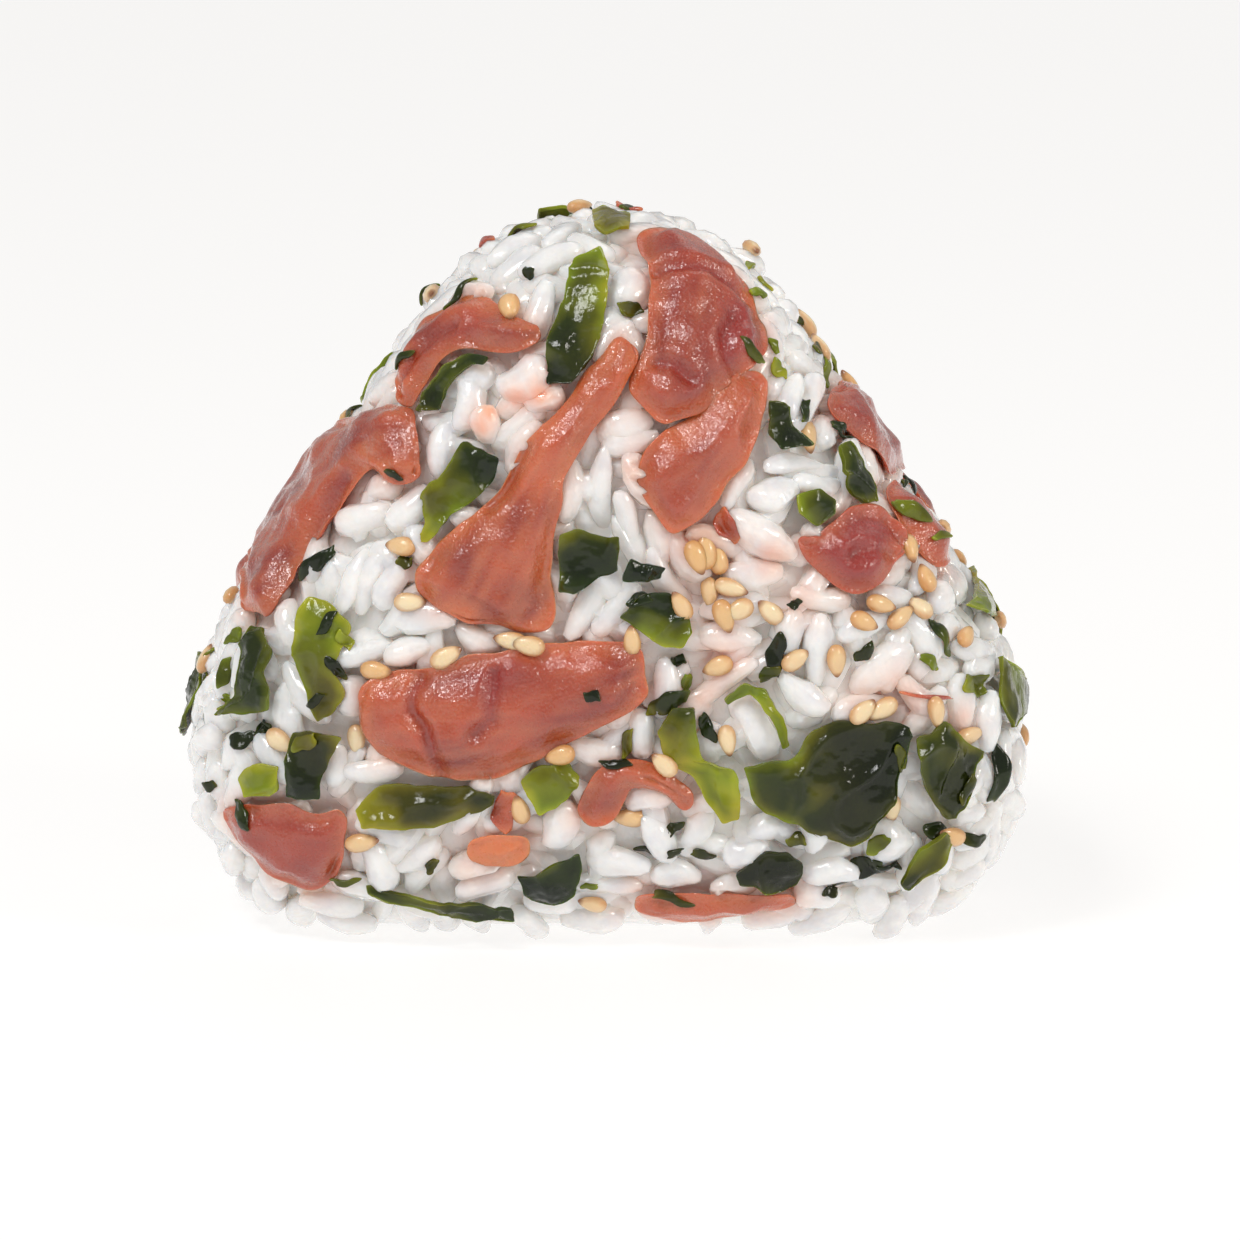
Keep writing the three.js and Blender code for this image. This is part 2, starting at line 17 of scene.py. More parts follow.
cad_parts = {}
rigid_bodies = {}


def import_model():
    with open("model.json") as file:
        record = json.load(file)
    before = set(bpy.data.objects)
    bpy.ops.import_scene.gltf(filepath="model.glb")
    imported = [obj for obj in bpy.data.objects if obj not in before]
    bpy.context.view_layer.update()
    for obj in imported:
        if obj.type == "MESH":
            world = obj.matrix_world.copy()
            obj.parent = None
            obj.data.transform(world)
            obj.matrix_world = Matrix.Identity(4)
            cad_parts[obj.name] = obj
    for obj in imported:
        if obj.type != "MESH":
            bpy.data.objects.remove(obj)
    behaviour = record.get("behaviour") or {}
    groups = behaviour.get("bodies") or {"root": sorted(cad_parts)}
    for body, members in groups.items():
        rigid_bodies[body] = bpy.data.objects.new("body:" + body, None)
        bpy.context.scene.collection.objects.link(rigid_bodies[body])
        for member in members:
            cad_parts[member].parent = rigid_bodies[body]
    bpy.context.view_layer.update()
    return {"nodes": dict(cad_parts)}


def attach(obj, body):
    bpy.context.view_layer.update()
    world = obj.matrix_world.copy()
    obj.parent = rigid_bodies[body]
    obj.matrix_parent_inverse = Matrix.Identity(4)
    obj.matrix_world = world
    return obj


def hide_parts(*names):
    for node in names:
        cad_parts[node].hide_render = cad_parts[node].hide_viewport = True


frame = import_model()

MM = 0.001
TENTH = 0.0001

# ---- The rice ball's form, as in the frame ----
HALF_DEPTH = 23 * MM
MIDDLE = np.array((0, 0, 33 * MM))
TO_BASE = 35.2 * MM
TO_SIDE = 31.1 * MM
SIDE_TILT = math.radians(33.3)
CORNER_POWER = 1.75
EDGE_POWER = 3.2

# ---- The eye that the front's places are drawn from: x right and y down, in tenths of a millimetre ----
EYE_TARGET = Vector((1.25 * MM, 0, 29.8 * MM))
EYE_DISTANCE = 600 * MM
EYE_ELEVATION = math.radians(10)
SHEET_MIDDLE = 620
SHEET_WIDTH = 124 * MM
SENSOR = 36

# ---- Grains ----
GRAIN_LENGTH = (5.7 * MM, 7.3 * MM)
GRAIN_WIDTH = (2.7 * MM, 3.3 * MM)
GRAIN_FLATNESS = (0.8, 0.95)
GRAIN_SPACING = 2.3 * MM
UNDER_SPACING = 2.0 * MM
GRAIN_DEPTH = (1.1 * MM, 1.9 * MM)  # of a grain's middle, below the outer face of the rice
BETWEEN_DEPTH = (1.7 * MM, 2.3 * MM)
UNDER_DEPTH = (2.6 * MM, 3.2 * MM)
CORE_DEPTH = 2.3 * MM
MOST_TRIANGLES = 195000  # in one piece
PLUM_CLEARANCE = 0.6 * MM  # from the middle line of a grain
LEAF_CLEARANCE = 0.35 * MM
APART = 4.0 * MM  # between the middle lines of grains that are sure not to touch
CREASE_ANGLE = math.radians(50)
UNDER_TOP = 0.4 * MM  # from a plum or leaf's top down to the rice that it covers

rng = random.Random(7)


# ---------------------------------------------------------------- the ball's surface
def gauge(offsets):
    """1 on the outer face of the rice for offsets from MIDDLE, an array of n rows, and in proportion elsewhere."""
    x, y, z = offsets.T
    lean = np.cos(SIDE_TILT), np.sin(SIDE_TILT)
    sides = [-z / TO_BASE, (x * lean[0] + z * lean[1]) / TO_SIDE, (z * lean[1] - x * lean[0]) / TO_SIDE]
    outline = sum(np.maximum(side, 0) ** CORNER_POWER for side in sides) ** (1 / CORNER_POWER)
    return (outline**EDGE_POWER + np.abs(y / HALF_DEPTH) ** EDGE_POWER) ** (1 / EDGE_POWER)


def on_face(points):
    """The outer face's points on the lines from the middle through the given points."""
    offsets = np.atleast_2d(points) - MIDDLE
    return MIDDLE + offsets / gauge(offsets)[:, None]


def outward(points):
    """Unit normals of the outer face at points on it."""
    step = 0.02 * MM
    offsets = np.atleast_2d(points) - MIDDLE
    slopes = [gauge(offsets + step * axis) - gauge(offsets - step * axis) for axis in np.eye(3)]
    normals = np.stack(slopes, axis=1)
    return normals / np.linalg.norm(normals, axis=1, keepdims=True)


def ball_bmesh(subdivisions, depth):
    """A ball of even triangles with the rice ball's form, depth below its outer face."""
    bm = bmesh.new()
    bmesh.ops.create_icosphere(bm, subdivisions=subdivisions, radius=0.01)
    spots = on_face(np.array([v.co for v in bm.verts]) + MIDDLE)
    for vert, place in zip(bm.verts, spots - depth * outward(spots)):
        vert.co = place
    return bm


face_bm = ball_bmesh(6, 0)
face_tree = BVHTree.FromBMesh(face_bm)
face_bm.free()

eye_back = Vector((0, -math.cos(EYE_ELEVATION), math.sin(EYE_ELEVATION)))
eye_right = Vector((1, 0, 0))
eye_up = eye_back.cross(eye_right)
eye = EYE_TARGET + EYE_DISTANCE * eye_back


def on_front(x, y):
    """The outer face's point that the eye sees at a place on the sheet, or the nearest one to its sight line."""
    mark = EYE_TARGET + (x - SHEET_MIDDLE) * TENTH * eye_right + (SHEET_MIDDLE - y) * TENTH * eye_up
    hit = face_tree.ray_cast(eye, (mark - eye).normalized())[0]
    return np.array(hit or face_tree.find_nearest(mark)[0])


# ---------------------------------------------------------------- meshes and pieces
def mesh_arrays(mesh):
    """The places and normals of a mesh's vertices."""
    places = np.empty(len(mesh.vertices) * 3)
    mesh.vertices.foreach_get("co", places)
    normals = np.empty(len(mesh.vertices) * 3)
    mesh.vertices.foreach_get("normal", normals)
    return places.reshape(-1, 3), normals.reshape(-1, 3)


def set_attribute(mesh, name, values):
    layer = mesh.attributes.new(name, "FLOAT", "POINT")
    layer.data.foreach_set("value", np.ascontiguousarray(values, dtype=np.float32))


def add_piece(name, mesh, material, slot, *nodes):
    """Adds a finished piece that stands for CAD nodes."""
    mesh.polygons.foreach_set("use_smooth", [True] * len(mesh.polygons))
    mesh.materials.clear()
    mesh.materials.append(material)
    piece = bpy.data.objects.new(name, mesh)
    bpy.context.scene.collection.objects.link(piece)
    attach(piece, "root")
    if nodes:
        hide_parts(*nodes)
    return piece


def welded(node):
    """A copy of a CAD node's mesh with its triangles joined at their corners and paired into quads."""
    bm = bmesh.new()
    bm.from_mesh(frame["nodes"][node].data)
    bmesh.ops.remove_doubles(bm, verts=bm.verts, dist=0.01 * MM)
    bmesh.ops.join_triangles(bm, faces=bm.faces, angle_face_threshold=0.9, angle_shape_threshold=1.2)
    mesh = bpy.data.meshes.new(node)
    bm.to_mesh(mesh)
    bm.free()
    return mesh


def modified(mesh, kind, **settings):
    """The mesh after a modifier."""
    carrier = bpy.data.objects.new("carrier", mesh)
    bpy.context.scene.collection.objects.link(carrier)
    modifier = carrier.modifiers.new("modifier", kind)
    for key, value in settings.items():
        setattr(modifier, key, value)
    made = bpy.data.meshes.new_from_object(carrier.evaluated_get(bpy.context.evaluated_depsgraph_get()))
    bpy.data.objects.remove(carrier)
    return made


def subdivided(mesh, levels, kind="CATMULL_CLARK"):
    return modified(mesh, "SUBSURF", levels=levels, render_levels=levels, subdivision_type=kind)


def joined_copies(name, shape, placed):
    """One mesh of many copies of a small bmesh shape. placed holds each copy's points, as arrays in the order of
    the shape's vertices."""
    faces = [[v.index for v in face.verts] for face in shape.faces]
    count = len(shape.verts)
    mesh = bpy.data.meshes.new(name)
    indices = [[i + count * copy for i in face] for copy in range(len(placed)) for face in faces]
    mesh.from_pydata(np.concatenate(placed).tolist(), [], indices)
    return mesh


def tree_of_meshes(meshes):
    """A search tree over several meshes."""
    bm = bmesh.new()
    for mesh in meshes:
        bm.from_mesh(mesh)
    tree = BVHTree.FromBMesh(bm)
    bm.free()
    return tree


def node_tree_of(names):
    """A search tree over several CAD nodes."""
    places, faces = [], []
    for name in names:
        mesh = frame["nodes"][name].data
        start = len(places)
        places += [v.co.copy() for v in mesh.vertices]
        faces += [[start + i for i in face.vertices] for face in mesh.polygons]
    return BVHTree.FromPolygons(places, faces)


def warped(places, size, amount, seed):
    """Places moved by smooth noise of a size, each by up to about amount."""
    shift = Vector((seed * 7.3, seed * 3.1, seed * 5.7))
    moves = [noise.noise_vector(Vector(p) / size + shift) for p in places]
    return places + amount * np.array(moves)


def creased(places, normals, size, amount, seed):
    """Places raised along narrow winding ridges."""
    shift = Vector((seed * 1.7, seed * 6.1, seed * 2.3))
    heights = [max(0, 1 - 5 * abs(noise.noise(Vector(p) / size + shift))) ** 2 for p in places]
    return places + amount * np.array(heights)[:, None] * normals


def rippled(places, normals, size, amount, seed):
    """Places raised and sunk along their normals by noise of a size."""
    shift = Vector((seed * 2.9, seed * 8.3, seed * 4.1))
    heights = [noise.noise(Vector(p) / size + shift) for p in places]
    return places + amount * np.array(heights)[:, None] * normals


# ---------------------------------------------------------------- materials
def link(tree, source, target):
    tree.links.new(source, target)


def add_node(tree, kind, inputs=None, **settings):
    """Adds a node. inputs maps a socket's name or number to a value or to another node's output."""
    node = tree.nodes.new(kind)
    for key, value in settings.items():
        setattr(node, key, value)
    for key, value in (inputs or {}).items():
        if isinstance(value, bpy.types.NodeSocket):
            link(tree, value, node.inputs[key])
        else:
            node.inputs[key].default_value = value
    return node


def new_group(name, inputs, outputs):
    """A shader node group. inputs and outputs map socket names to socket types, or to (type, default)."""
    tree = bpy.data.node_groups.new(name, "ShaderNodeTree")
    for side, sockets in (("INPUT", inputs), ("OUTPUT", outputs)):
        for socket, kind in sockets.items():
            kind, default = kind if isinstance(kind, tuple) else (kind, None)
            made = tree.interface.new_socket(socket, in_out=side, socket_type="NodeSocket" + kind)
            if default is not None:
                made.default_value = default
    return tree, tree.nodes.new("NodeGroupInput").outputs, tree.nodes.new("NodeGroupOutput").inputs


def make_moist_relief():
    """Fine bumps over broad ones, as on any moist food."""
    tree, given, result = new_group(
        "Moist relief",
        {
            "Fine Scale": "Float",
            "Fine Detail": ("Float", 4.0),
            "Broad Scale": "Float",
            "Fine Share": "Float",
            "Height": "Float",
        },
        {"Normal": "Vector", "Relief": "Float"},
    )
    place = add_node(tree, "ShaderNodeTexCoord").outputs["Object"]
    fine = add_node(
        tree,
        "ShaderNodeTexNoise",
        {"Vector": place, "Scale": given["Fine Scale"], "Detail": given["Fine Detail"]},
    )
    broad = add_node(tree, "ShaderNodeTexNoise", {"Vector": place, "Scale": given["Broad Scale"], "Detail": 2.0})
    mixed = add_node(
        tree,
        "ShaderNodeMix",
        {"Factor": given["Fine Share"], 2: broad.outputs["Fac"], 3: fine.outputs["Fac"]},
    )
    bump = add_node(
        tree,
        "ShaderNodeBump",
        {"Height": mixed.outputs[0], "Distance": given["Height"], "Strength": 1.0},
    )
    link(tree, bump.outputs["Normal"], result["Normal"])
    link(tree, mixed.outputs[0], result["Relief"])
    return tree


def make_mottle():
    """Two colours in soft patches."""
    tree, given, result = new_group(
        "Mottle",
        {
            "Colour": "Color",
            "Patch Colour": "Color",
            "Patch Scale": "Float",
            "Patch Detail": ("Float", 3.0),
            "Threshold": "Float",
            "Softness": "Float",
        },
        {"Colour": "Color", "Mask": "Float"},
    )
    place = add_node(tree, "ShaderNodeTexCoord").outputs["Object"]
    patches = add_node(
        tree,
        "ShaderNodeTexNoise",
        {"Vector": place, "Scale": given["Patch Scale"], "Detail": given["Patch Detail"]},
    )
    above = add_node(tree, "ShaderNodeMath", {0: given["Threshold"], 1: given["Softness"]}, operation="ADD")
    mask = add_node(
        tree,
        "ShaderNodeMapRange",
        {"Value": patches.outputs["Fac"], "From Min": given["Threshold"], "From Max": above.outputs[0]},
        interpolation_type="SMOOTHSTEP",
    )
    mixed = add_node(
        tree,
        "ShaderNodeMix",
        {"Factor": mask.outputs[0], 6: given["Colour"], 7: given["Patch Colour"]},
        data_type="RGBA",
    )
    link(tree, mixed.outputs[2], result["Colour"])
    link(tree, mask.outputs[0], result["Mask"])
    return tree


MOIST_RELIEF = make_moist_relief()
MOTTLE = make_mottle()


def use_group(tree, group, inputs):
    node = tree.nodes.new("ShaderNodeGroup")
    node.node_tree = group
    for key, value in inputs.items():
        if isinstance(value, bpy.types.NodeSocket):
            link(tree, value, node.inputs[key])
        else:
            node.inputs[key].default_value = value
    return node.outputs


def new_material(name):
    material = bpy.data.materials.new(name)
    material.use_nodes = True
    return material, material.node_tree, material.node_tree.nodes["Principled BSDF"]


def attribute(tree, name):
    return add_node(tree, "ShaderNodeAttribute", attribute_name=name).outputs["Fac"]


def mixed_colour(tree, factor, first, second):
    return add_node(tree, "ShaderNodeMix", {"Factor": factor, 6: first, 7: second}, data_type="RGBA").outputs[2]


def in_range(tree, value, low, high, to_low=0.0, to_high=1.0):
    return add_node(
        tree,
        "ShaderNodeMapRange",
        {"Value": value, "From Min": low, "From Max": high, "To Min": to_low, "To Max": to_high},
    ).outputs[0]


def make_rice_material():
    """Cooked rice: white where the grain is firm, grey and clearer where it is soft, whiter deep in the crevices
    between grains as painted fill light, pink where plum stained it.
    """
    material, tree, shader = new_material("Cooked rice")
    tone = attribute(tree, "tone")
    stain = attribute(tree, "stain")
    firm = use_group(
        tree,
        MOTTLE,
        {
            "Colour": (0.74, 0.73, 0.745, 1),
            "Patch Colour": (0.86, 0.84, 0.82, 1),
            "Patch Scale": 420.0,
            "Threshold": 0.36,
            "Softness": 0.3,
        },
    )
    # The tone attribute whitens the rice at random, and also as painted fill light deeper below the outer face, in the
    # crevices between grains.
    white = mixed_colour(tree, in_range(tree, tone, 0.35, 1.0), firm["Colour"], (0.89, 0.865, 0.835, 1))
    pink = mixed_colour(tree, stain, white, (0.90, 0.40, 0.26, 1))
    link(tree, pink, shader.inputs["Base Color"])
    relief = use_group(
        tree,
        MOIST_RELIEF,
        {"Fine Scale": 2400.0, "Broad Scale": 800.0, "Fine Share": 0.3, "Height": 0.2 * MM},
    )
    link(tree, relief["Normal"], shader.inputs["Normal"])
    link(tree, in_range(tree, relief["Relief"], 0.3, 0.7, 0.24, 0.12), shader.inputs["Roughness"])
    shader.inputs["Subsurface Weight"].default_value = 1.0
    shader.inputs["Subsurface Radius"].default_value = (1.0, 0.85, 0.75)
    shader.inputs["Subsurface Scale"].default_value = 3.0 * MM
    shader.inputs["IOR"].default_value = 1.42
    shader.inputs["Coat Weight"].default_value = 0.7
    shader.inputs["Coat Roughness"].default_value = 0.03
    return material


def make_plum_material():
    """Pickled plum flesh: salmon red in soft streaks, orange where it thins at the edge, wet with a fine speckle."""
    material, tree, shader = new_material("Pickled plum")
    tone = attribute(tree, "tone")
    rim = attribute(tree, "rim")
    streak = attribute(tree, "streak")
    flesh = use_group(
        tree,
        MOTTLE,
        {
            "Colour": (0.25, 0.024, 0.009, 1),
            "Patch Colour": (0.51, 0.088, 0.024, 1),
            "Patch Scale": 130.0,
            "Patch Detail": 1.0,
            "Threshold": 0.35,
            "Softness": 0.3,
        },
    )
    streaked = mixed_colour(tree, in_range(tree, streak, 0.3, 0.9, 0.0, 0.6), flesh["Colour"], (0.57, 0.165, 0.065, 1))
    # tone sets the flesh from deep red to salmon; along the creases it also carries painted shade.
    deep = mixed_colour(tree, tone, (0.30, 0.022, 0.014, 1), streaked)
    thin = mixed_colour(tree, in_range(tree, rim, 0.1, 1.0, 0.0, 0.8), deep, (0.70, 0.20, 0.06, 1))
    link(tree, thin, shader.inputs["Base Color"])
    relief = use_group(
        tree,
        MOIST_RELIEF,
        {"Fine Scale": 2600.0, "Broad Scale": 800.0, "Fine Share": 0.7, "Height": 0.2 * MM},
    )
    link(tree, relief["Normal"], shader.inputs["Normal"])
    place = add_node(tree, "ShaderNodeTexCoord").outputs["Object"]
    beads = add_node(tree, "ShaderNodeTexNoise", {"Vector": place, "Scale": 3300.0, "Detail": 0.5}).outputs["Fac"]
    film = add_node(tree, "ShaderNodeBump", {"Height": beads, "Distance": 0.13 * MM})
    link(tree, film.outputs["Normal"], shader.inputs["Coat Normal"])
    link(tree, in_range(tree, relief["Relief"], 0.35, 0.65, 0.40, 0.22), shader.inputs["Roughness"])
    shader.inputs["Subsurface Weight"].default_value = 0.5
    shader.inputs["Subsurface Radius"].default_value = (1.0, 0.3, 0.18)
    shader.inputs["Subsurface Scale"].default_value = 1.2 * MM
    shader.inputs["Coat Weight"].default_value = 0.9
    shader.inputs["Coat Roughness"].default_value = 0.06
    return material


def make_seaweed_material():
    """Wet wakame: nearly black where it is thick, through olive to bright green where it is thin."""
    material, tree, shader = new_material("Wet wakame")
    tone = attribute(tree, "tone")
    rim = attribute(tree, "rim")
    patches = use_group(
        tree,
        MOTTLE,
        {
            "Colour": (0, 0, 0, 1),
            "Patch Colour": (1, 1, 1, 1),
            "Patch Scale": 190.0,
            "Patch Detail": 1.0,
            "Threshold": 0.4,
            "Softness": 0.3,
        },
    )
    thinness = add_node(tree, "ShaderNodeMath", {0: patches["Mask"], 1: 0.34, 2: tone}, operation="MULTIPLY_ADD")
    shifted = add_node(tree, "ShaderNodeMath", {0: rim, 1: 0.25, 2: thinness.outputs[0]}, operation="MULTIPLY_ADD")
    ramp = add_node(tree, "ShaderNodeValToRGB", {"Fac": in_range(tree, shifted.outputs[0], 0.12, 1.22)})
    stops = [
        (0.0, (0.006, 0.011, 0.003)),
        (0.28, (0.020, 0.030, 0.004)),
        (0.5, (0.085, 0.095, 0.006)),
        (0.75, (0.17, 0.21, 0.010)),
        (1.0, (0.32, 0.34, 0.020)),
    ]
    for place, colour in stops[1:-1]:
        ramp.color_ramp.elements.new(place)
    for element, (place, colour) in zip(ramp.color_ramp.elements, stops):
        element.position = place
        element.color = (*colour, 1)
    place = add_node(tree, "ShaderNodeTexCoord").outputs["Object"]
    amber = add_node(tree, "ShaderNodeTexNoise", {"Vector": place, "Scale": 75.0, "Detail": 1.0}).outputs["Fac"]
    turned = add_node(
        tree,
        "ShaderNodeHueSaturation",
        {"Hue": in_range(tree, amber, 0.4, 0.62, 0.508, 0.455), "Color": ramp.outputs["Color"]},
    )
    link(tree, turned.outputs["Color"], shader.inputs["Base Color"])
    relief = use_group(
        tree,
        MOIST_RELIEF,
        {"Fine Scale": 1600.0, "Broad Scale": 420.0, "Fine Share": 0.12, "Height": 0.42 * MM},
    )
    link(tree, relief["Normal"], shader.inputs["Normal"])
    shader.inputs["Roughness"].default_value = 0.13
    shader.inputs["IOR"].default_value = 1.4
    shader.inputs["Subsurface Weight"].default_value = 0.25
    shader.inputs["Subsurface Radius"].default_value = (0.6, 0.8, 0.15)
    shader.inputs["Subsurface Scale"].default_value = 1.2 * MM
    return material


def make_sesame_material():
    """Toasted sesame: cream to orange tan, browner at the tip, and browner towards the outline as painted shade."""
    material, tree, shader = new_material("Toasted sesame")
    tone = attribute(tree, "tone")
    tip = attribute(tree, "along")
    body = mixed_colour(tree, tone, (0.86, 0.71, 0.46, 1), (0.74, 0.44, 0.18, 1))
    # Painted shade: the seed turns browner towards its outline, where its sides turn away from the light.
    rim_shaded = mixed_colour(tree, in_range(tree, attribute(tree, "edge"), 0.6, 1.0, 0.0, 0.7), body, (0.56, 0.24, 0.06, 1))
    toasted = mixed_colour(tree, in_range(tree, tip, 0.82, 0.96, 0.0, 0.9), rim_shaded, (0.22, 0.07, 0.02, 1))
    link(tree, toasted, shader.inputs["Base Color"])
    relief = use_group(
        tree,
        MOIST_RELIEF,
        {"Fine Scale": 5200.0, "Broad Scale": 1500.0, "Fine Share": 0.5, "Height": 0.12 * MM},
    )
    link(tree, relief["Normal"], shader.inputs["Normal"])
    shader.inputs["Roughness"].default_value = 0.38
    shader.inputs["Subsurface Weight"].default_value = 0.4
    shader.inputs["Subsurface Radius"].default_value = (1.0, 0.7, 0.4)
    shader.inputs["Subsurface Scale"].default_value = 0.6 * MM
    shader.inputs["Coat Weight"].default_value = 0.6
    shader.inputs["Coat Roughness"].default_value = 0.1
    return material


RICE = make_rice_material()
PLUM = make_plum_material()
SEAWEED = make_seaweed_material()
SESAME = make_sesame_material()

# ---------------------------------------------------------------- where things lie
plum_nodes = sorted(n for n in frame["nodes"] if n.startswith("plum"))
seaweed_nodes = sorted(n for n in frame["nodes"] if n.startswith("seaweed"))
plum_tree = node_tree_of(plum_nodes)
leaf_tree = node_tree_of(seaweed_nodes)


class Crowd:
    """Points that keep a distance from each other, looked up in cubic cells."""

    def __init__(self, spacing):
        self.spacing = spacing
        self.cells = {}

    def key(self, point):
        return tuple(int(c // self.spacing) for c in point)

    def has_room(self, points, spacing):
        for point in points:
            x, y, z = self.key(point)
            for cell in [(x + i, y + j, z + k) for i in (-1, 0, 1) for j in (-1, 0, 1) for k in (-1, 0, 1)]:
                for other in self.cells.get(cell, ()):
                    if math.dist(point, other) < spacing:
                        return False
        return True

    def add(self, points):
        for point in points:
            self.cells.setdefault(self.key(point), []).append(point)


def spread(count, offset):
    """Directions spread evenly over a sphere, each falling in the widest gap that the ones before it leave."""
    i = np.arange(count) + offset
    z = 1 - 2 * ((i * 0.7548776662) % 1)
    turn = 2 * math.pi * ((i * 0.5698402909) % 1)
    across = np.sqrt(1 - z * z)
    return np.stack([np.cos(turn) * across, np.sin(turn) * across, z], axis=1)


def unit(v):
    return v / np.linalg.norm(v)


def level_axes(normal):
    """Two directions in the plane across a normal: one level, one uphill."""
    level = np.cross((0, 0, 1), normal)
    level = unit(level) if np.linalg.norm(level) > 1e-6 else np.array((1.0, 0, 0))
    return level, np.cross(normal, level)


# Grains that show on the front: x, y, length, width and the turn of the length up from level, in degrees.
FRONT_GRAINS = [
    (628, 285, 60, 42, 80), (612, 338, 50, 28, 40), (462, 402, 62, 36, 88), (523, 377, 60, 44, 30),
    (437, 450, 58, 32, 85), (405, 508, 60, 34, 45), (372, 483, 58, 34, 20), (355, 515, 62, 32, 10),
    (322, 577, 56, 28, 85), (345, 580, 72, 27, 65), (365, 580, 74, 26, 62), (388, 583, 62, 27, 60),
    (420, 618, 76, 34, 0), (478, 641, 50, 24, -30), (280, 620, 54, 24, 88), (298, 695, 78, 28, -50),
    (357, 655, 62, 28, 10), (405, 655, 50, 30, 20), (334, 770, 48, 26, 90), (372, 775, 62, 26, 0),
    (585, 612, 72, 30, 60), (617, 612, 70, 30, 58), (570, 493, 60, 27, 88), (602, 490, 82, 24, 88),
    (740, 482, 56, 27, 60), (800, 461, 70, 22, 0), (823, 483, 56, 24, 0), (780, 493, 52, 40, 20),
    (762, 535, 82, 38, -30), (755, 577, 62, 34, 10), (732, 640, 66, 32, 0), (725, 685, 80, 25, 35),
    (822, 650, 78, 26, 88), (885, 670, 76, 36, 35), (898, 571, 42, 26, 30), (898, 594, 50, 24, 0),
    (948, 592, 52, 34, 60), (755, 730, 72, 38, -60), (709, 746, 46, 27, 88), (641, 738, 52, 30, 88),
    (665, 690, 62, 28, 88), (647, 800, 54, 36, 20), (505, 822, 50, 32, 20), (418, 862, 62, 34, 40),
    (360, 895, 55, 27, -30), (748, 858, 48, 36, 10), (770, 832, 45, 26, 10), (893, 845, 50, 38, 80),
    (830, 880, 60, 32, 10), (817, 903, 52, 30, 0), (977, 822, 44, 30, 20), (735, 895, 52, 27, 0),
    (902, 785, 44, 24, 88), (618, 868, 66, 30, 0), (560, 830, 54, 38, 88), (675, 880, 54, 28, 0),
]

# Seeds that show on the front: x, y and the turn of the length down from level, in degrees.
FRONT_SEEDS = [
    (400, 546, 5), (409, 602, 0), (510, 308, 80), (376, 671, 5), (446, 657, -30), (510, 641, 10), (528, 645, 10),
    (278, 742, 30), (353, 744, 85), (632, 640, 85), (560, 756, -15), (664, 762, 40), (629, 822, 0),
    (520, 810, 75), (592, 908, 15), (696, 558, 70), (706, 552, 88), (719, 560, 80), (710, 594, 85),
    (732, 588, 15), (724, 616, 70), (738, 610, -25), (770, 612, 40), (681, 604, 60), (718, 668, -20),
    (796, 660, -30), (838, 662, 85), (864, 622, 25), (882, 604, 15), (904, 616, -40), (924, 606, 40),
    (912, 548, 80), (926, 578, 70), (972, 634, -60), (864, 712, -45), (884, 711, -30), (935, 712, 80),
    (976, 736, -20), (895, 812, 80), (362, 843, -10), (818, 432, 75), (952, 836, 20), (728, 742, 80),
]


def grain_line(middle, axis, length):
    """Three points along a grain's middle, for judging its room."""
    return [tuple(middle + axis * length * s) for s in (-0.33, 0, 0.33)]


def clear_of(tree, points, clearance):
    return clearance == 0 or all(tree.find_nearest(Vector(p), clearance)[0] is None for p in points)


def clear_of_pieces(points, share=1.0):
    return clear_of(plum_tree, points, share * PLUM_CLEARANCE) and clear_of(leaf_tree, points, share * LEAF_CLEARANCE)


def size_grain(length=None, width=None):
    length = length or rng.uniform(*GRAIN_LENGTH)
    width = width or rng.uniform(*GRAIN_WIDTH)
    return length, width, width * rng.uniform(*GRAIN_FLATNESS)


def lay_out_grains():
    """Places for the outer grains: (middle, axis, normal, size) for each."""
    laid = []
    crowd = Crowd(GRAIN_SPACING)

    def lay(face, axis, size):
        normal = outward(face)[0]
        axis = unit(axis - normal * axis.dot(normal))
        depth = rng.uniform(*GRAIN_DEPTH)
        tilted = unit(axis + normal * rng.uniform(-0.2, 0.2))
        laid.append((face - normal * depth, tilted, normal, size))
        crowd.add(grain_line(face, axis, size[0]))

    for x, y, length, width, turn in FRONT_GRAINS:
        along = math.cos(math.radians(turn)) * length / 3, math.sin(math.radians(turn)) * length / 3
        ends = on_front(x - along[0], y + along[1]), on_front(x + along[0], y - along[1])
        lay(on_front(x, y), ends[1] - ends[0], size_grain(length * TENTH, width * TENTH))
    for face in on_face(spread(22000, 0) * 0.01 + MIDDLE):
        if face[2] < 1.3 * MM:
            continue
        normal = outward(face)[0]
        level, uphill = level_axes(normal)
        size = size_grain(rng.uniform(3.6 * MM, 5 * MM) if rng.random() < 0.12 else None)
        start = rng.uniform(0, math.pi)
        for turn in (0, 0.6, 1.2, 1.8, 2.4):
            axis = level * math.cos(start + turn) + uphill * math.sin(start + turn)
            line = grain_line(face, axis, size[0])
            if crowd.has_room(line, GRAIN_SPACING) and clear_of_pieces(line):
                lay(face, axis, size)
                break
    return laid


def lay_under_grains(count, offset, depths, clearance):
    """Places for the grains seen in the gaps between the outer ones."""
    laid = []
    crowd = Crowd(UNDER_SPACING)
    for face in on_face(spread(count, offset) * 0.01 + MIDDLE):
        if face[2] < 2.5 * MM:
            continue
        normal = outward(face)[0]
        level, uphill = level_axes(normal)
        size = size_grain()
        turn = rng.uniform(0, math.pi)
        axis = level * math.cos(turn) + uphill * math.sin(turn)
        line = grain_line(face, axis, size[0])
        if crowd.has_room(line, UNDER_SPACING) and clear_of_pieces(line, clearance):
            crowd.add(line)
            laid.append((face - normal * rng.uniform(*depths), axis, normal, size))
    return laid


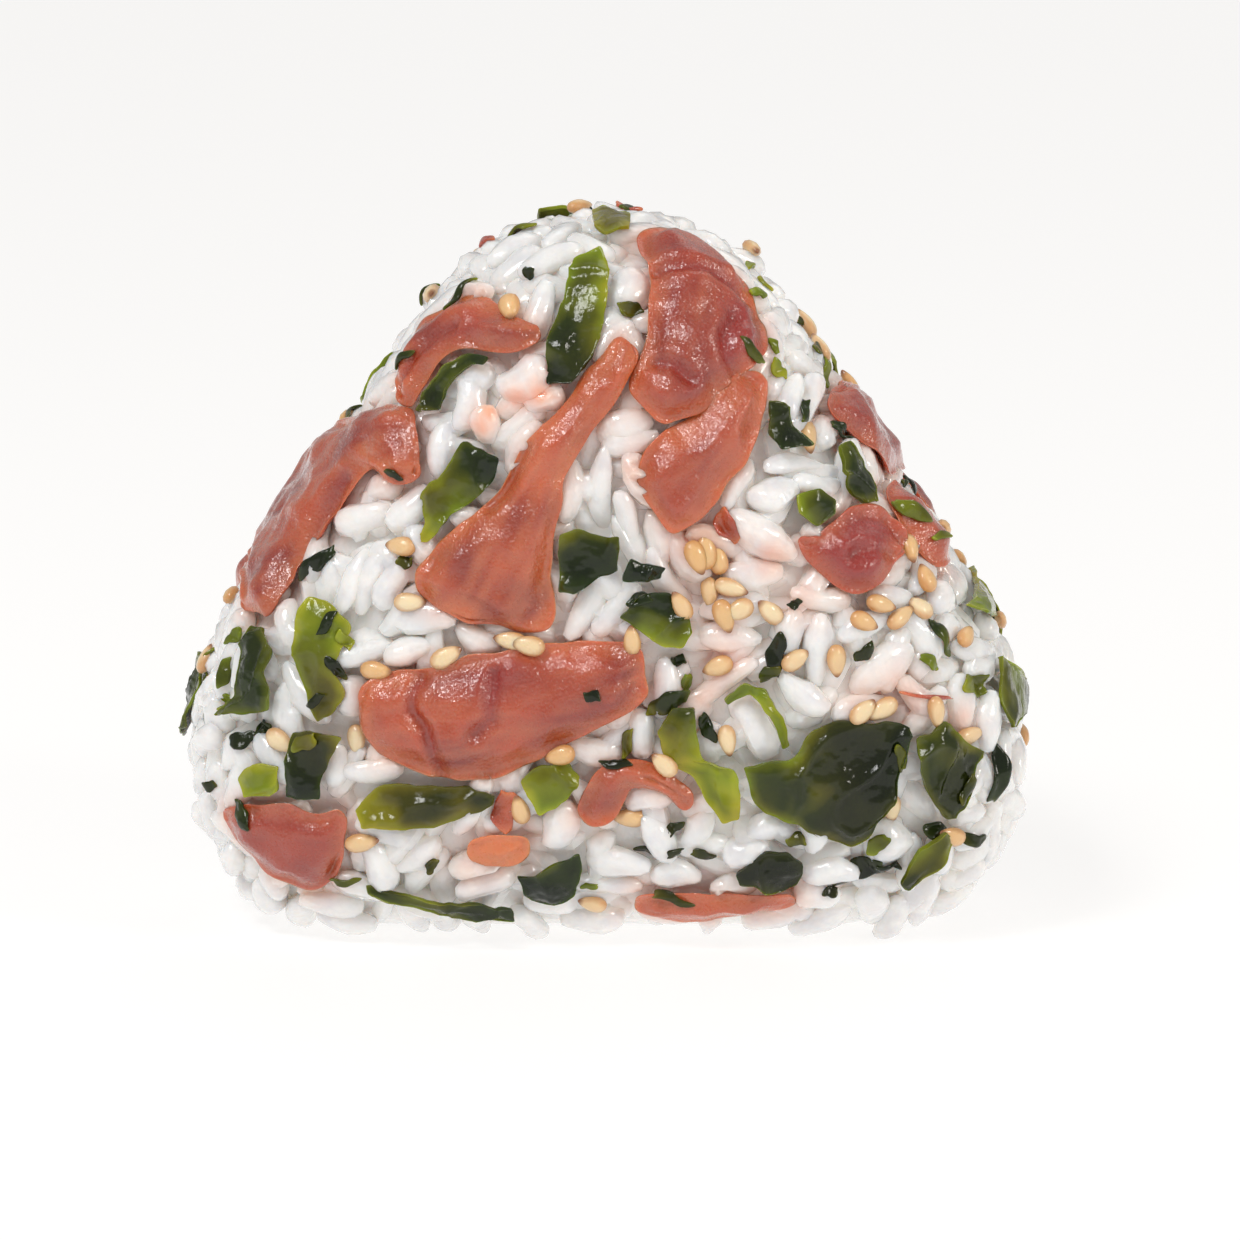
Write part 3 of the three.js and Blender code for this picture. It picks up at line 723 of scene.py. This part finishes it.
def grain_shape(sides, rings):
    """A grain along Z, 1 from the middle each way: blunt at both ends."""
    bm = bmesh.new()
    bmesh.ops.create_uvsphere(bm, u_segments=sides, v_segments=rings, radius=1)
    for vert in bm.verts:
        across = math.hypot(vert.co.x, vert.co.y)
        if across > 1e-6:
            vert.co.xy *= across**-0.25
    return bm


def placed_grain(points, middle, axis, normal, size):
    """The shape's points, bent, dented and put in place."""
    length, width, height = size
    x, y, z = points.T
    bend = rng.uniform(-0.3, 0.3)
    dent = rng.uniform(0.0, 0.6)
    phase = rng.uniform(0, 6.28)
    swell = 1 + 0.09 * np.sin(3.1 * z + phase) + 0.07 * np.sin(4.3 * z + 2.5 * x + 1.7 * phase)
    swell += 0.07 * np.sin(3.7 * x + 2.1 * y + 2.9 * phase)
    notch = np.clip((z - 0.5) * 2.2, 0, 1) * np.clip(x, 0, 1) * dent
    local = np.stack(
        [
            ((x - notch) * swell + bend * (z * z - 0.4)) * width / 2,
            y * swell * height / 2,
            z * length / 2,
        ],
        axis=1,
    )
    side = unit(np.cross(normal, axis))
    return middle + local @ np.array([side, np.cross(axis, side), axis])


# Plum juice that reached the rice: x, y, reach in tenths of a millimetre, and strength.
STAINS = [
    (580, 405, 34, 0.8), (705, 545, 34, 0.9), (690, 600, 30, 0.5), (720, 665, 34, 0.6), (640, 470, 24, 0.7),
    (700, 700, 24, 0.7), (905, 700, 34, 0.6), (560, 380, 30, 0.5), (385, 470, 26, 0.6), (800, 600, 26, 0.5),
    (470, 870, 30, 0.4), (490, 410, 15, 1.0), (515, 401, 15, 1.0), (540, 394, 15, 1.0), (480, 428, 15, 0.9),
    (620, 372, 22, 0.7), (775, 560, 22, 0.7), (860, 700, 24, 0.5), (720, 610, 26, 0.5),
 (940, 560, 30, 0.3), (965, 725, 20, 0.7), (330, 740, 24, 0.3),
]


def stain_values(places):
    """How pink the rice is: 1 against plum, 0 from 4 mm on, and more where juice ran."""
    reach = [max(0.0, 1 - plum_tree.find_nearest(Vector(p))[3] / (3.4 * MM)) ** 1.6 for p in places]
    stains = 0.6 * np.array(reach)
    for x, y, size, strength in STAINS:
        distance = np.linalg.norm(places - on_front(x, y), axis=1)
        stains = np.maximum(stains, strength * np.exp(-((distance / (size * TENTH)) ** 2)))
    return stains


def layers_apart(laid):
    """The grains in layers in which no two touch, so that each layer is a clean solid."""
    layers = []
    for grain in laid:
        middle, axis, _, size = grain
        line = grain_line(middle, axis, size[0])
        for crowd, members in layers:
            if crowd.has_room(line, APART):
                break
        else:
            crowd, members = Crowd(APART), []
            layers.append((crowd, members))
        crowd.add(line)
        members.append(grain)
    return [members for _, members in layers]


def placed_grains(laid, shape):
    """Each grain's points, none lower than the base."""
    points = np.array([v.co for v in shape.verts])
    placed = np.concatenate([placed_grain(points, *grain) for grain in laid])
    placed = warped(placed, 5.0 * MM, 0.6 * MM, 3)
    placed[:, 2] = np.maximum(placed[:, 2], 0.05 * MM)
    return np.split(placed, len(laid))


def core_mesh():
    """The ball below the outer grains."""
    bm = ball_bmesh(5, CORE_DEPTH)
    mesh = bpy.data.meshes.new("core")
    bm.to_mesh(mesh)
    bm.free()
    return mesh


def grain_layers(laid, shape):
    """A mesh for each layer of grains."""
    return [joined_copies("layer", shape, placed_grains(layer, shape)) for layer in layers_apart(laid)]


def united(base, meshes):
    """One mesh of the union of a base solid and others."""
    heap = bpy.data.collections.new("heap")
    bpy.context.scene.collection.children.link(heap)
    carriers = [bpy.data.objects.new("carrier", mesh) for mesh in meshes]
    for carrier in carriers:
        heap.objects.link(carrier)
    made = modified(base, "BOOLEAN", operation="UNION", solver="MANIFOLD", operand_type="COLLECTION", collection=heap)
    for carrier in carriers:
        bpy.data.objects.remove(carrier)
    bpy.data.collections.remove(heap)
    return made


def without_hollows(mesh):
    """The mesh without the hollows shut in inside it: the joined parts that face inwards."""
    ends = np.empty(len(mesh.edges) * 2, dtype=np.int32)
    mesh.edges.foreach_get("vertices", ends)
    first, second = ends.reshape(-1, 2).T
    part, before = np.arange(len(mesh.vertices)), None
    while not np.array_equal(part, before):
        before = part.copy()
        lowest = np.minimum(part[first], part[second])
        np.minimum.at(part, first, lowest)
        np.minimum.at(part, second, lowest)
        part = part[part]
    mesh.calc_loop_triangles()
    corners = np.empty(len(mesh.loop_triangles) * 3, dtype=np.int32)
    mesh.loop_triangles.foreach_get("vertices", corners)
    corners = corners.reshape(-1, 3)
    a, b, c = mesh_arrays(mesh)[0][corners.T]
    room = np.bincount(part[corners[:, 0]], np.sum(a * np.cross(b, c), axis=1), len(part))
    bm = bmesh.new()
    bm.from_mesh(mesh)
    hollow = [v for v, inside_out in zip(bm.verts, room[part] < 0) if inside_out]
    bmesh.ops.delete(bm, geom=hollow, context="VERTS")
    bm.to_mesh(mesh)
    bm.free()
    return mesh


def pressed_under(places, kind, poke):
    """Places that would poke through the pieces of a kind by up to poke pushed down to just below their tops."""
    tree = tree_of_meshes([piece.data for piece in bpy.context.scene.objects if piece.name.startswith(kind)])
    faces = on_face(places)
    pushed = []
    for place, face, normal in zip(places, faces, outward(faces)):
        top = tree.ray_cast(Vector(face + 4 * MM * normal), Vector(-normal), 8 * MM)[0]
        rise = (place - top).dot(normal) if top else poke
        pushed.append(place - (rise + UNDER_TOP) * normal if -UNDER_TOP < rise < poke else place)
    return np.array(pushed)


def make_rice():
    """The pressed rice: whole grains joined with a core into one skin, creased where they touch."""
    outer = lay_out_grains()
    under = lay_under_grains(7000, 7000, BETWEEN_DEPTH, 0.8) + lay_under_grains(7000, 500, UNDER_DEPTH, 0)
    grains = grain_layers(outer, grain_shape(12, 8)) + grain_layers(under, grain_shape(8, 6))
    skin = without_hollows(united(core_mesh(), grains))
    triangles = sum(len(face.vertices) - 2 for face in skin.polygons)
    print("COUNT", len(outer), len(under), len(grains), len(skin.polygons), triangles)
    if triangles > MOST_TRIANGLES:
        skin = modified(skin, "DECIMATE", ratio=MOST_TRIANGLES / triangles)
    places = pressed_under(mesh_arrays(skin)[0], "flesh_", 0.9 * MM)
    places = pressed_under(places, "wakame_", 0.5 * MM)
    skin.vertices.foreach_set("co", places.ravel())
    mottle = np.array([0.5 + 0.5 * noise.noise(Vector(p) / GRAIN_WIDTH[1]) for p in places])
    depth = np.linalg.norm(places - on_face(places), axis=1)
    # tone: random mottle, plus painted fill light that whitens the rice deeper below its outer face, in the crevices
    # between grains.
    set_attribute(skin, "tone", mottle + 0.7 * np.clip(depth / MM - 0.8, 0, 1))
    set_attribute(skin, "stain", stain_values(places))
    piece = add_piece("rice_grains", skin, RICE, "rice", "rice")
    skin.set_sharp_from_angle(angle=CREASE_ANGLE)
    return piece


# ---------------------------------------------------------------- plum and seaweed
def rim_values(node, places, reach):
    """1 at a slab's side walls, falling to 0 at reach from them."""
    bm = bmesh.new()
    bm.from_mesh(frame["nodes"][node].data)
    bmesh.ops.remove_doubles(bm, verts=bm.verts, dist=0.01 * MM)
    walls = [f for f in bm.faces if abs(f.normal.dot(Vector(outward(np.array(f.calc_center_median()))[0]))) < 0.5]
    tree = BVHTree.FromPolygons([v.co for v in bm.verts], [[v.index for v in f.verts] for f in walls])
    bm.free()
    return np.array([max(0, 1 - tree.find_nearest(Vector(p))[3] / reach) for p in places])


# How light the flesh is, from 0 for deep red to 1 for salmon.
PLUM_TONES = {
    "brow": 0.35, "corner": 0.35, "crown": 0.62, "flank": 0.75, "fold": 0.75, "middle": 0.75, "right": 0.1,
    "seam": 0.6, "shoulder": 0.95, "strip": 1.0, "stub": 1.0,
}

# Creases in the flesh that show on the front, as places on the sheet. They are carved into the flesh and also darkened
# with painted shade.
CREASES = {
    "plum_crown": [
        [(658, 269), (681, 274), (701, 279), (719, 284), (742, 296)],
        [(732, 322), (722, 343), (724, 363), (735, 371)],
        [(658, 366), (673, 376), (686, 389)],
    ],
    "plum_middle": [
        [(420, 681), (421, 706), (435, 725), (439, 740), (440, 782)],
        [(498, 672), (498, 712), (482, 727)],
    ],
    "plum_right": [
        [(850, 523), (870, 520), (889, 524)],
        [(842, 532), (864, 530), (894, 533)],
        [(850, 543), (877, 538), (900, 542)],
        [(847, 554), (870, 550), (888, 554)],
    ],
    "plum_shoulder": [[(400, 385), (425, 352), (455, 330)]],
    "plum_strip": [[(528, 450), (512, 480), (490, 505)]],
    "plum_flank": [[(345, 480), (318, 520), (300, 560)]],
}
# Darker places in the flesh: x, y and reach.
SHADES = [(745, 345, 26), (738, 318, 20), (503, 668, 26), (470, 340, 26), (520, 372, 20), (845, 560, 30)]
CREASE_WIDTH = 0.7 * MM
CREASE_DEPTH = 0.6 * MM


def from_line(places, line):
    """Each place's distance from a line of points."""
    nearest = np.full(len(places), 1.0)
    for start, end in zip(line, line[1:]):
        share = np.clip((places - start) @ (end - start) / np.sum((end - start) ** 2), 0, 1)
        nearest = np.minimum(nearest, np.linalg.norm(places - start - share[:, None] * (end - start), axis=1))
    return nearest


def crease_values(places, lines):
    """-1 along the lines, rising to a soft lip beside each."""
    spots = on_face(places)
    rise = np.zeros(len(places))
    for line in lines:
        away = from_line(spots, [on_front(*corner) for corner in line]) / CREASE_WIDTH
        rise += 0.4 * np.exp(-((away - 2) ** 2)) - np.exp(-(away**2))
    return rise


def shade_values(places):
    """1 at the middle of each darker place, falling to 0 round it."""
    spots = on_face(places)
    shades = [np.exp(-((np.linalg.norm(spots - on_front(x, y), axis=1) / (reach * TENTH)) ** 2)) for x, y, reach in SHADES]
    return np.max(shades, axis=0)


def streaks_along(places, seed):
    """Noise from 0 to 1, drawn out along the places' longest reach."""
    offsets = places - places.mean(axis=0)
    axes = np.linalg.svd(offsets, full_matrices=False)[2]
    stretched = offsets @ axes.T / np.array((6.0, 1.3, 2.0)) / MM + seed * 3.7
    return np.array([0.5 + 0.5 * noise.fractal(Vector(p), 1.0, 2.0, 3) for p in stretched])


def make_plum(node, seed):
    mesh = subdivided(welded(node), 3)
    places, normals = mesh_arrays(mesh)
    rim = rim_values(node, places, 2.0 * MM)
    faces_out = outward(on_face(places))
    facing = np.sum(normals * faces_out, axis=1, keepdims=True)
    places = places + normals * (1 - np.abs(facing)) * 0.5 * MM
    places = places - faces_out * np.maximum(facing, 0) * (0.2 + 0.7 * rim[:, None]) * MM
    places = warped(places, 2.6 * MM, 0.4 * MM, seed)
    places = rippled(places, faces_out, 6.0 * MM, 0.8 * MM, seed)
    places = rippled(places, faces_out, 1.6 * MM, 0.12 * MM, seed + 9)
    streaks = streaks_along(places, seed)
    places = places + faces_out * (streaks - 0.5)[:, None] * 0.12 * MM
    creases = crease_values(places, CREASES.get(node, []))
    places = places + faces_out * (CREASE_DEPTH * creases)[:, None]
    if node == "plum_fold":
        places = tucked(places, faces_out, node_tree_of(["plum_crown"]))
    places[:, 2] = np.maximum(places[:, 2], 0.1 * MM)
    mesh.vertices.foreach_set("co", places.ravel())
    # Darker in the listed darker places of the flesh, and darker along the creases as painted shade.
    darkness = 0.7 * shade_values(places) - 0.5 * np.minimum(creases, 0)
    set_attribute(mesh, "tone", PLUM_TONES.get(node.split("_", 1)[1], 0.8) - darkness)
    set_attribute(mesh, "rim", np.ones(len(rim)) if node == "plum_stub" else 0.5 * rim)
    set_attribute(mesh, "streak", streaks)
    add_piece(node.replace("plum", "flesh"), mesh, PLUM, "plum", node)


def tucked(places, normals, over):
    """Places near the piece above pulled in under its edge."""
    reach = 2.4 * MM
    tucked_in = []
    for place, normal in zip(places, normals):
        near, _, _, distance = over.find_nearest(Vector(place))
        pull = max(0.0, 1 - distance / reach)
        tucked_in.append(place + pull * 0.9 * (np.array(near) - place) - pull * 0.5 * MM * normal)
    return np.array(tucked_in)


# How bright a leaf is, from 0 for nearly black to 1 for bright green, at its low and its high end along an axis.
X, Z = 0, 2
SEAWEED_TONES = {
    "arc": (0.5, 0.7, Z), "blade": (0.3, 0.6, Z), "boat": (0.6, 0.3, X), "cap": (0.8, 0.2, X),
    "cape": (0.55, 0.0, X), "chip": (0.9, 1.0, X), "drape": (0.05, 0.4, Z), "ear": (0.5, 0.7, Z),
    "far": (0.15, 0.45, X), "flag": (0.2, 0.5, Z), "frill": (0.5, 0.95, Z), "hem": (0.3, 0.1, X),
    "hook": (0.1, 0.0, X), "kite": (0.6, 0.15, Z), "knot": (0.0, 0.15, X), "lobe": (1.0, 0.3, Z),
    "patch": (0.0, 0.1, X), "pleat": (0.0, 0.45, Z), "pleat_end": (0.1, 0.0, X), "ribbon": (0.0, 0.8, Z),
    "sash": (0.3, 0.2, Z), "shell": (0.95, 0.3, Z), "slate": (0.0, 0.2, X), "top": (0.8, 0.6, X),
    "wing": (0.8, 0.0, X), "wrap": (0.4, 0.2, X),
}


# Leaves on the ball's outline, drawn taut round its edge.
TAUT_LEAVES = ("seaweed_top", "seaweed_ear", "seaweed_blade", "seaweed_cap")


def make_seaweed(node, seed):
    mesh = subdivided(subdivided(welded(node), 2, "SIMPLE"), 1)
    places, normals = mesh_arrays(mesh)
    rim = rim_values(node, places, 1.0 * MM)
    low, high, axis = SEAWEED_TONES.get(node.split("_", 1)[1], (rng.uniform(0, 0.6), rng.uniform(0, 0.9), Z))
    share = (places[:, axis] - places[:, axis].min()) / np.ptp(places[:, axis])
    faces_out = outward(on_face(places))
    facing = np.sum(normals * faces_out, axis=1, keepdims=True)
    places = places - faces_out * facing * (0.1 + 0.2 * rim[:, None]) * MM
    slack = 0.35 if node in TAUT_LEAVES else 1.0
    places = warped(places, 3.0 * MM, slack * 0.4 * MM, seed + 20)
    places = warped(places, 1.0 * MM, slack * 0.15 * MM, seed + 40)
    places = rippled(places, faces_out, 7.0 * MM, slack * 0.9 * MM, seed + 60)
    places = creased(places, faces_out, 6.0 * MM, slack * 0.5 * MM, seed + 80)
    places[:, 2] = np.maximum(places[:, 2], 0.1 * MM)
    mesh.vertices.foreach_set("co", places.ravel())
    set_attribute(mesh, "tone", low + (high - low) * share)
    set_attribute(mesh, "rim", rim)
    add_piece(node.replace("seaweed", "wakame"), mesh, SEAWEED, "seaweed", node)


# ---------------------------------------------------------------- small shreds
# Shreds that show on the front: x, y, length, width, the turn of the length up from level, and the tone.
WAKAME_SHREDS = [
    (630, 318, 26, 15, 0, 0.3), (672, 656, 15, 11, 0, 0.2), (228, 670, 32, 12, 80, 0.4), (224, 697, 20, 9, 60, 0.5),
    (237, 634, 24, 11, 45, 0.5), (249, 735, 28, 18, 20, 0.05), (212, 784, 16, 12, 0, 0.3), (765, 672, 24, 14, 30, 0.5),
    (919, 820, 36, 20, -30, 0.2), (884, 867, 28, 18, 0, 0.05), (972, 682, 42, 24, 15, 0.6), (941, 634, 44, 16, -60, 0.3),
    (840, 435, 36, 14, -35, 0.25), (910, 512, 48, 15, -45, 0.5), (943, 540, 28, 9, -35, 0.5), (804, 412, 30, 13, 75, 0.35),
    (758, 293, 20, 12, -20, 0.7), (774, 348, 18, 9, -60, 0.8), (778, 374, 24, 15, -40, 0.8), (826, 373, 38, 13, -70, 0.6),
    (768, 652, 44, 18, 80, 0.0), (660, 857, 48, 11, 0, 0.1), (999, 775, 62, 18, 85, 0.1), (972, 838, 38, 13, 5, 0.2),
    (845, 858, 54, 26, 20, 0.05), (793, 837, 20, 14, 0, 0.3), (439, 857, 18, 11, 60, 0.2), (668, 821, 28, 11, 25, 0.3),
    (672, 895, 42, 8, -10, 0.2), (860, 651, 24, 14, 40, 0.3), (782, 603, 14, 9, 30, 0.2), (412, 563, 16, 13, 0, 0.2),
    (460, 292, 44, 7, 50, 0.4), (404, 355, 30, 7, 45, 0.4), (318, 562, 50, 17, 40, 0.15), (682, 685, 28, 12, 80, 0.6),
    (626, 737, 32, 11, 80, 0.6), (615, 758, 32, 8, 0, 0.0), (827, 888, 16, 9, 0, 0.1), (591, 700, 17, 12, -10, 0.1),
    (392, 473, 19, 7, -35, 0.1), (241, 815, 32, 15, -60, 0.2), (348, 879, 30, 8, 0, 0.5), (752, 348, 34, 11, -45, 0.3),
    (530, 279, 12, 9, 0, 0.1), (322, 625, 28, 10, 60, 0.1), (330, 668, 32, 11, -50, 0.15), (312, 702, 22, 9, 40, 0.2),
    (345, 640, 20, 12, -60, 0.9), (668, 704, 46, 20, 20, 0.35), (702, 722, 32, 14, -60, 0.2), (300, 745, 30, 16, 30, 0.7),
    (272, 722, 22, 14, 10, 0.3), (640, 600, 26, 12, 20, 0.2), (905, 760, 30, 14, -70, 0.5), (968, 790, 30, 16, 60, 0.4),
    (925, 660, 26, 12, -30, 0.7), (590, 880, 18, 8, 10, 0.7), (700, 850, 26, 12, -20, 0.15), (872, 840, 28, 14, 50, 0.6),
]
FLESH_SHREDS = [
    (722, 530, 36, 20, -60, 1.0), (932, 697, 60, 4, -5, 1.0), (508, 808, 44, 26, 88, 1.0),
]


def make_rest_tree(pieces):
    return tree_of_meshes([piece.data for piece in pieces])


def rest_on_front(x, y):
    """The point and normal that the eye sees at a place on the sheet, on whatever lies uppermost."""
    aim = Vector(on_front(x, y)) - eye
    place, normal, _, _ = rest_tree.ray_cast(eye, aim.normalized())
    return np.array(place), np.array(normal)


def resting_height(face, reach):
    """How far above a point of the ball's face a small thing of a half length lies on what is below it."""
    normal = outward(face)[0]
    level, uphill = level_axes(normal)
    spots = [face, face + reach * level, face - reach * level, face + reach * uphill, face - reach * uphill]
    rises = sorted((rest_from_outside(spot)[0] - face).dot(normal) for spot in spots)
    return (rises[-1] + rises[-2]) / 2


def rest_from_outside(face):
    """The point and normal straight below a point outside the ball, on whatever lies uppermost."""
    normal = outward(face)[0]
    start = Vector(face + 8 * MM * normal)
    place, facing, _, _ = rest_tree.ray_cast(start, Vector(-normal))
    return np.array(place), np.array(facing)


MOST_UNEVEN = 1.1 * MM  # under a shred


def shred_shape():
    """A flat shred with tapered, blunt ends, reaching 1 from the middle each way."""
    bm = bmesh.new()
    bmesh.ops.create_grid(bm, x_segments=8, y_segments=4, size=1)
    for vert in bm.verts:
        vert.co.y *= 1 - 0.55 * abs(vert.co.x) ** 2.5
        vert.co.x *= 1 - 0.15 * vert.co.y**2
    return bm


def laid_shred(points, face, axis, length, width):
    """The shred's points draped over what it lies on, frayed and waved."""
    normal = outward(face)[0]
    axis = unit(axis - normal * axis.dot(normal))
    side = np.cross(normal, axis)
    phase = rng.uniform(0, 6.28)
    x = points[:, 0] + 0.12 * np.sin(4.1 * points[:, 1] + phase)
    y = points[:, 1] + 0.22 * np.sin(3.3 * points[:, 0] + 1.9 * phase) + 0.1 * np.sin(8 * points[:, 0] + phase)
    flat = on_face(face + np.outer(x * length / 2, axis) + np.outer(y * width / 2, side))
    rises = np.array([(rest_from_outside(p)[0] - p).dot(normal) for p in flat])
    rises = np.clip(rises, rises.mean() - 0.5 * MM, rises.mean() + 0.5 * MM) + 0.25 * MM
    wave = 0.1 * np.sin(2.6 * x + phase) + 0.1 * np.sin(2.2 * y + 2.3 * phase)
    return flat + outward(flat) * (rises + wave * min(width, 2 * MM))[:, None]


def make_shreds(name, front, material, slot, thickness, elsewhere):
    """One piece of thin shreds: those drawn on the front, and others spread over the rest of the ball."""
    shape = shred_shape()
    points = np.array([v.co for v in shape.verts])
    placed, tones = [], []
    for x, y, length, width, turn, tone in front:
        step = 12 * math.cos(math.radians(turn)), 12 * math.sin(math.radians(turn))
        axis = on_front(x + step[0], y - step[1]) - on_front(x - step[0], y + step[1])
        placed.append(laid_shred(points, on_face(rest_on_front(x, y)[0])[0], axis, length * TENTH, width * TENTH))
        tones.append(tone)
    for face in on_face(spread(elsewhere, 31) * 0.01 + MIDDLE):
        if face[1] < -5 * MM or face[2] < 3 * MM or not clear_of_pieces([tuple(face)], 2.5):
            continue
        level, uphill = level_axes(outward(face)[0])
        turn = rng.uniform(0, math.pi)
        axis = level * math.cos(turn) + uphill * math.sin(turn)
        length = rng.uniform(2.0, 6.0) * MM
        line = on_face([face + axis * length * share for share in (-0.4, -0.2, 0, 0.2, 0.4)])
        if np.ptp([(rest_from_outside(p)[0] - p).dot(outward(p)[0]) for p in line]) > MOST_UNEVEN:
            continue
        placed.append(laid_shred(points, face, axis, length, length * rng.uniform(0.3, 0.6)))
        tones.append(rng.random() ** 1.5)
    mesh = joined_copies(name, shape, placed)
    shape.free()
    set_attribute(mesh, "tone", np.repeat(tones, len(points)))
    set_attribute(mesh, "rim", np.tile(np.abs(points[:, 0]) ** 3, len(placed)))
    mesh = subdivided(modified(mesh, "SOLIDIFY", thickness=thickness, offset=0), 1)
    add_piece(name, mesh, material, slot, "rice")


# ---------------------------------------------------------------- seeds
def seed_shape():
    """A sesame seed along Z: round at the bottom, drawn to a point at the top."""
    bm = bmesh.new()
    bmesh.ops.create_uvsphere(bm, u_segments=10, v_segments=9, radius=1)
    for vert in bm.verts:
        vert.co.xy *= 1 - 0.28 * vert.co.z - 0.15 * max(0, vert.co.z) ** 2
    return bm


def make_seeds():
    shape = seed_shape()
    points = np.array([v.co for v in shape.verts])
    placed, tones = [], []

    def lay(face, axis):
        normal = outward(face)[0]
        place = face + resting_height(face, 0.9 * MM) * normal
        normal = unit(0.35 * rest_from_outside(face)[1] + normal)
        axis = unit(axis - normal * axis.dot(normal))
        side = unit(np.cross(normal, axis))
        half = np.array((rng.uniform(0.85, 1.1), rng.uniform(0.6, 0.75), rng.uniform(1.5, 1.8))) * MM
        frame_axes = np.array([side, np.cross(axis, side), axis])
        placed.append(place + normal * 0.3 * half[1] + (points * half) @ frame_axes)
        tones.append(rng.random())

    for x, y, turn in FRONT_SEEDS:
        step = math.cos(math.radians(turn)) * 12, math.sin(math.radians(turn)) * 12
        sign = rng.choice((-1, 1))
        lay(on_front(x, y), sign * (on_front(x + step[0], y + step[1]) - on_front(x, y)))
    for face in on_face(spread(260, 90) * 0.01 + MIDDLE):
        if face[1] > -5 * MM and face[2] > 3 * MM and rng.random() < 0.5 and clear_of_pieces([face], 1.6):
            level, uphill = level_axes(outward(face)[0])
            turn = rng.uniform(0, 2 * math.pi)
            lay(face, level * math.cos(turn) + uphill * math.sin(turn))
    mesh = joined_copies("sesame_seeds", shape, placed)
    shape.free()
    set_attribute(mesh, "tone", np.repeat(tones, len(points)))
    set_attribute(mesh, "along", np.tile((points[:, 2] + 1) / 2, len(placed)))
    # edge: how far out from the seed's middle a point is, which the material darkens towards the outline as painted
    # shade.
    set_attribute(mesh, "edge", np.tile(np.hypot(points[:, 0], points[:, 2]), len(placed)))
    add_piece("sesame_seeds", mesh, SESAME, "rice", "rice")


# ---------------------------------------------------------------- stage
def make_stage():
    bm = bmesh.new()
    side = 12.0
    bmesh.ops.create_grid(bm, x_segments=1, y_segments=1, size=side)
    mesh = bpy.data.meshes.new("floor")
    bm.to_mesh(mesh)
    bm.free()
    floor = bpy.data.objects.new("floor", mesh)
    bpy.context.scene.collection.objects.link(floor)
    material, _, shader = new_material("Pale floor")
    shader.inputs["Base Color"].default_value = (0.30, 0.30, 0.298, 1)
    shader.inputs["Roughness"].default_value = 0.7
    shader.inputs["Emission Color"].default_value = (1.0, 0.99, 0.98, 1)
    shader.inputs["Emission Strength"].default_value = 0.72
    mesh.materials.append(material)


def add_area_light(name, place, size, power, colour):
    data = bpy.data.lights.new(name, "AREA")
    data.shape = "DISK"
    data.size = size
    data.energy = power
    data.color = colour
    light = bpy.data.objects.new(name, data)
    light.location = place
    light.rotation_euler = (EYE_TARGET - Vector(place)).to_track_quat("-Z", "Y").to_euler()
    bpy.context.scene.collection.objects.link(light)


def add_camera():
    data = bpy.data.cameras.new("camera")
    data.sensor_width = SENSOR
    data.lens = SENSOR * EYE_DISTANCE / SHEET_WIDTH
    data.clip_start = 0.01
    camera = bpy.data.objects.new("camera", data)
    camera.location = eye
    camera.rotation_euler = (EYE_TARGET - eye).to_track_quat("-Z", "Y").to_euler()
    bpy.context.scene.collection.objects.link(camera)
    bpy.context.scene.camera = camera


def add_light():
    world = bpy.data.worlds.new("studio")
    world.use_nodes = True
    world.node_tree.nodes["Background"].inputs["Color"].default_value = (1.0, 0.985, 0.965, 1)
    world.node_tree.nodes["Background"].inputs["Strength"].default_value = 0.46
    bpy.context.scene.world = world
    data = bpy.data.lights.new("back light", "SUN")
    data.energy = 0.2
    data.angle = math.radians(30)
    data.color = (1.0, 0.985, 0.96)
    light = bpy.data.objects.new("back light", data)
    light.rotation_euler = Vector((-0.35, -0.6, -0.95)).to_track_quat("-Z", "Y").to_euler()
    bpy.context.scene.collection.objects.link(light)
    add_area_light("window", (-0.35, -0.45, 0.7), 0.28, 3.2, (1.0, 1.0, 1.0))
    add_area_light("side window", (0.6, -0.4, 0.35), 0.2, 1.6, (1.0, 0.955, 0.89))
    add_area_light("lamp", (-0.2, -0.6, 0.6), 0.05, 0.4, (1.0, 1.0, 1.0))


make_stage()
add_light()
add_camera()
bpy.context.scene.view_settings.view_transform = "Standard"

for number, node in enumerate(plum_nodes):
    make_plum(node, number)
for number, node in enumerate(seaweed_nodes):
    make_seaweed(node, number)
make_rice()
rest_tree = make_rest_tree([o for o in bpy.context.scene.objects if o.name.startswith(("rice_", "flesh_", "wakame_"))])
make_seeds()
make_shreds("wakame_shreds", WAKAME_SHREDS, SEAWEED, "seaweed", 0.35 * MM, 300)
make_shreds("flesh_shreds", FLESH_SHREDS, PLUM, "plum", 0.4 * MM, 30)

bpy.context.view_layer.update()
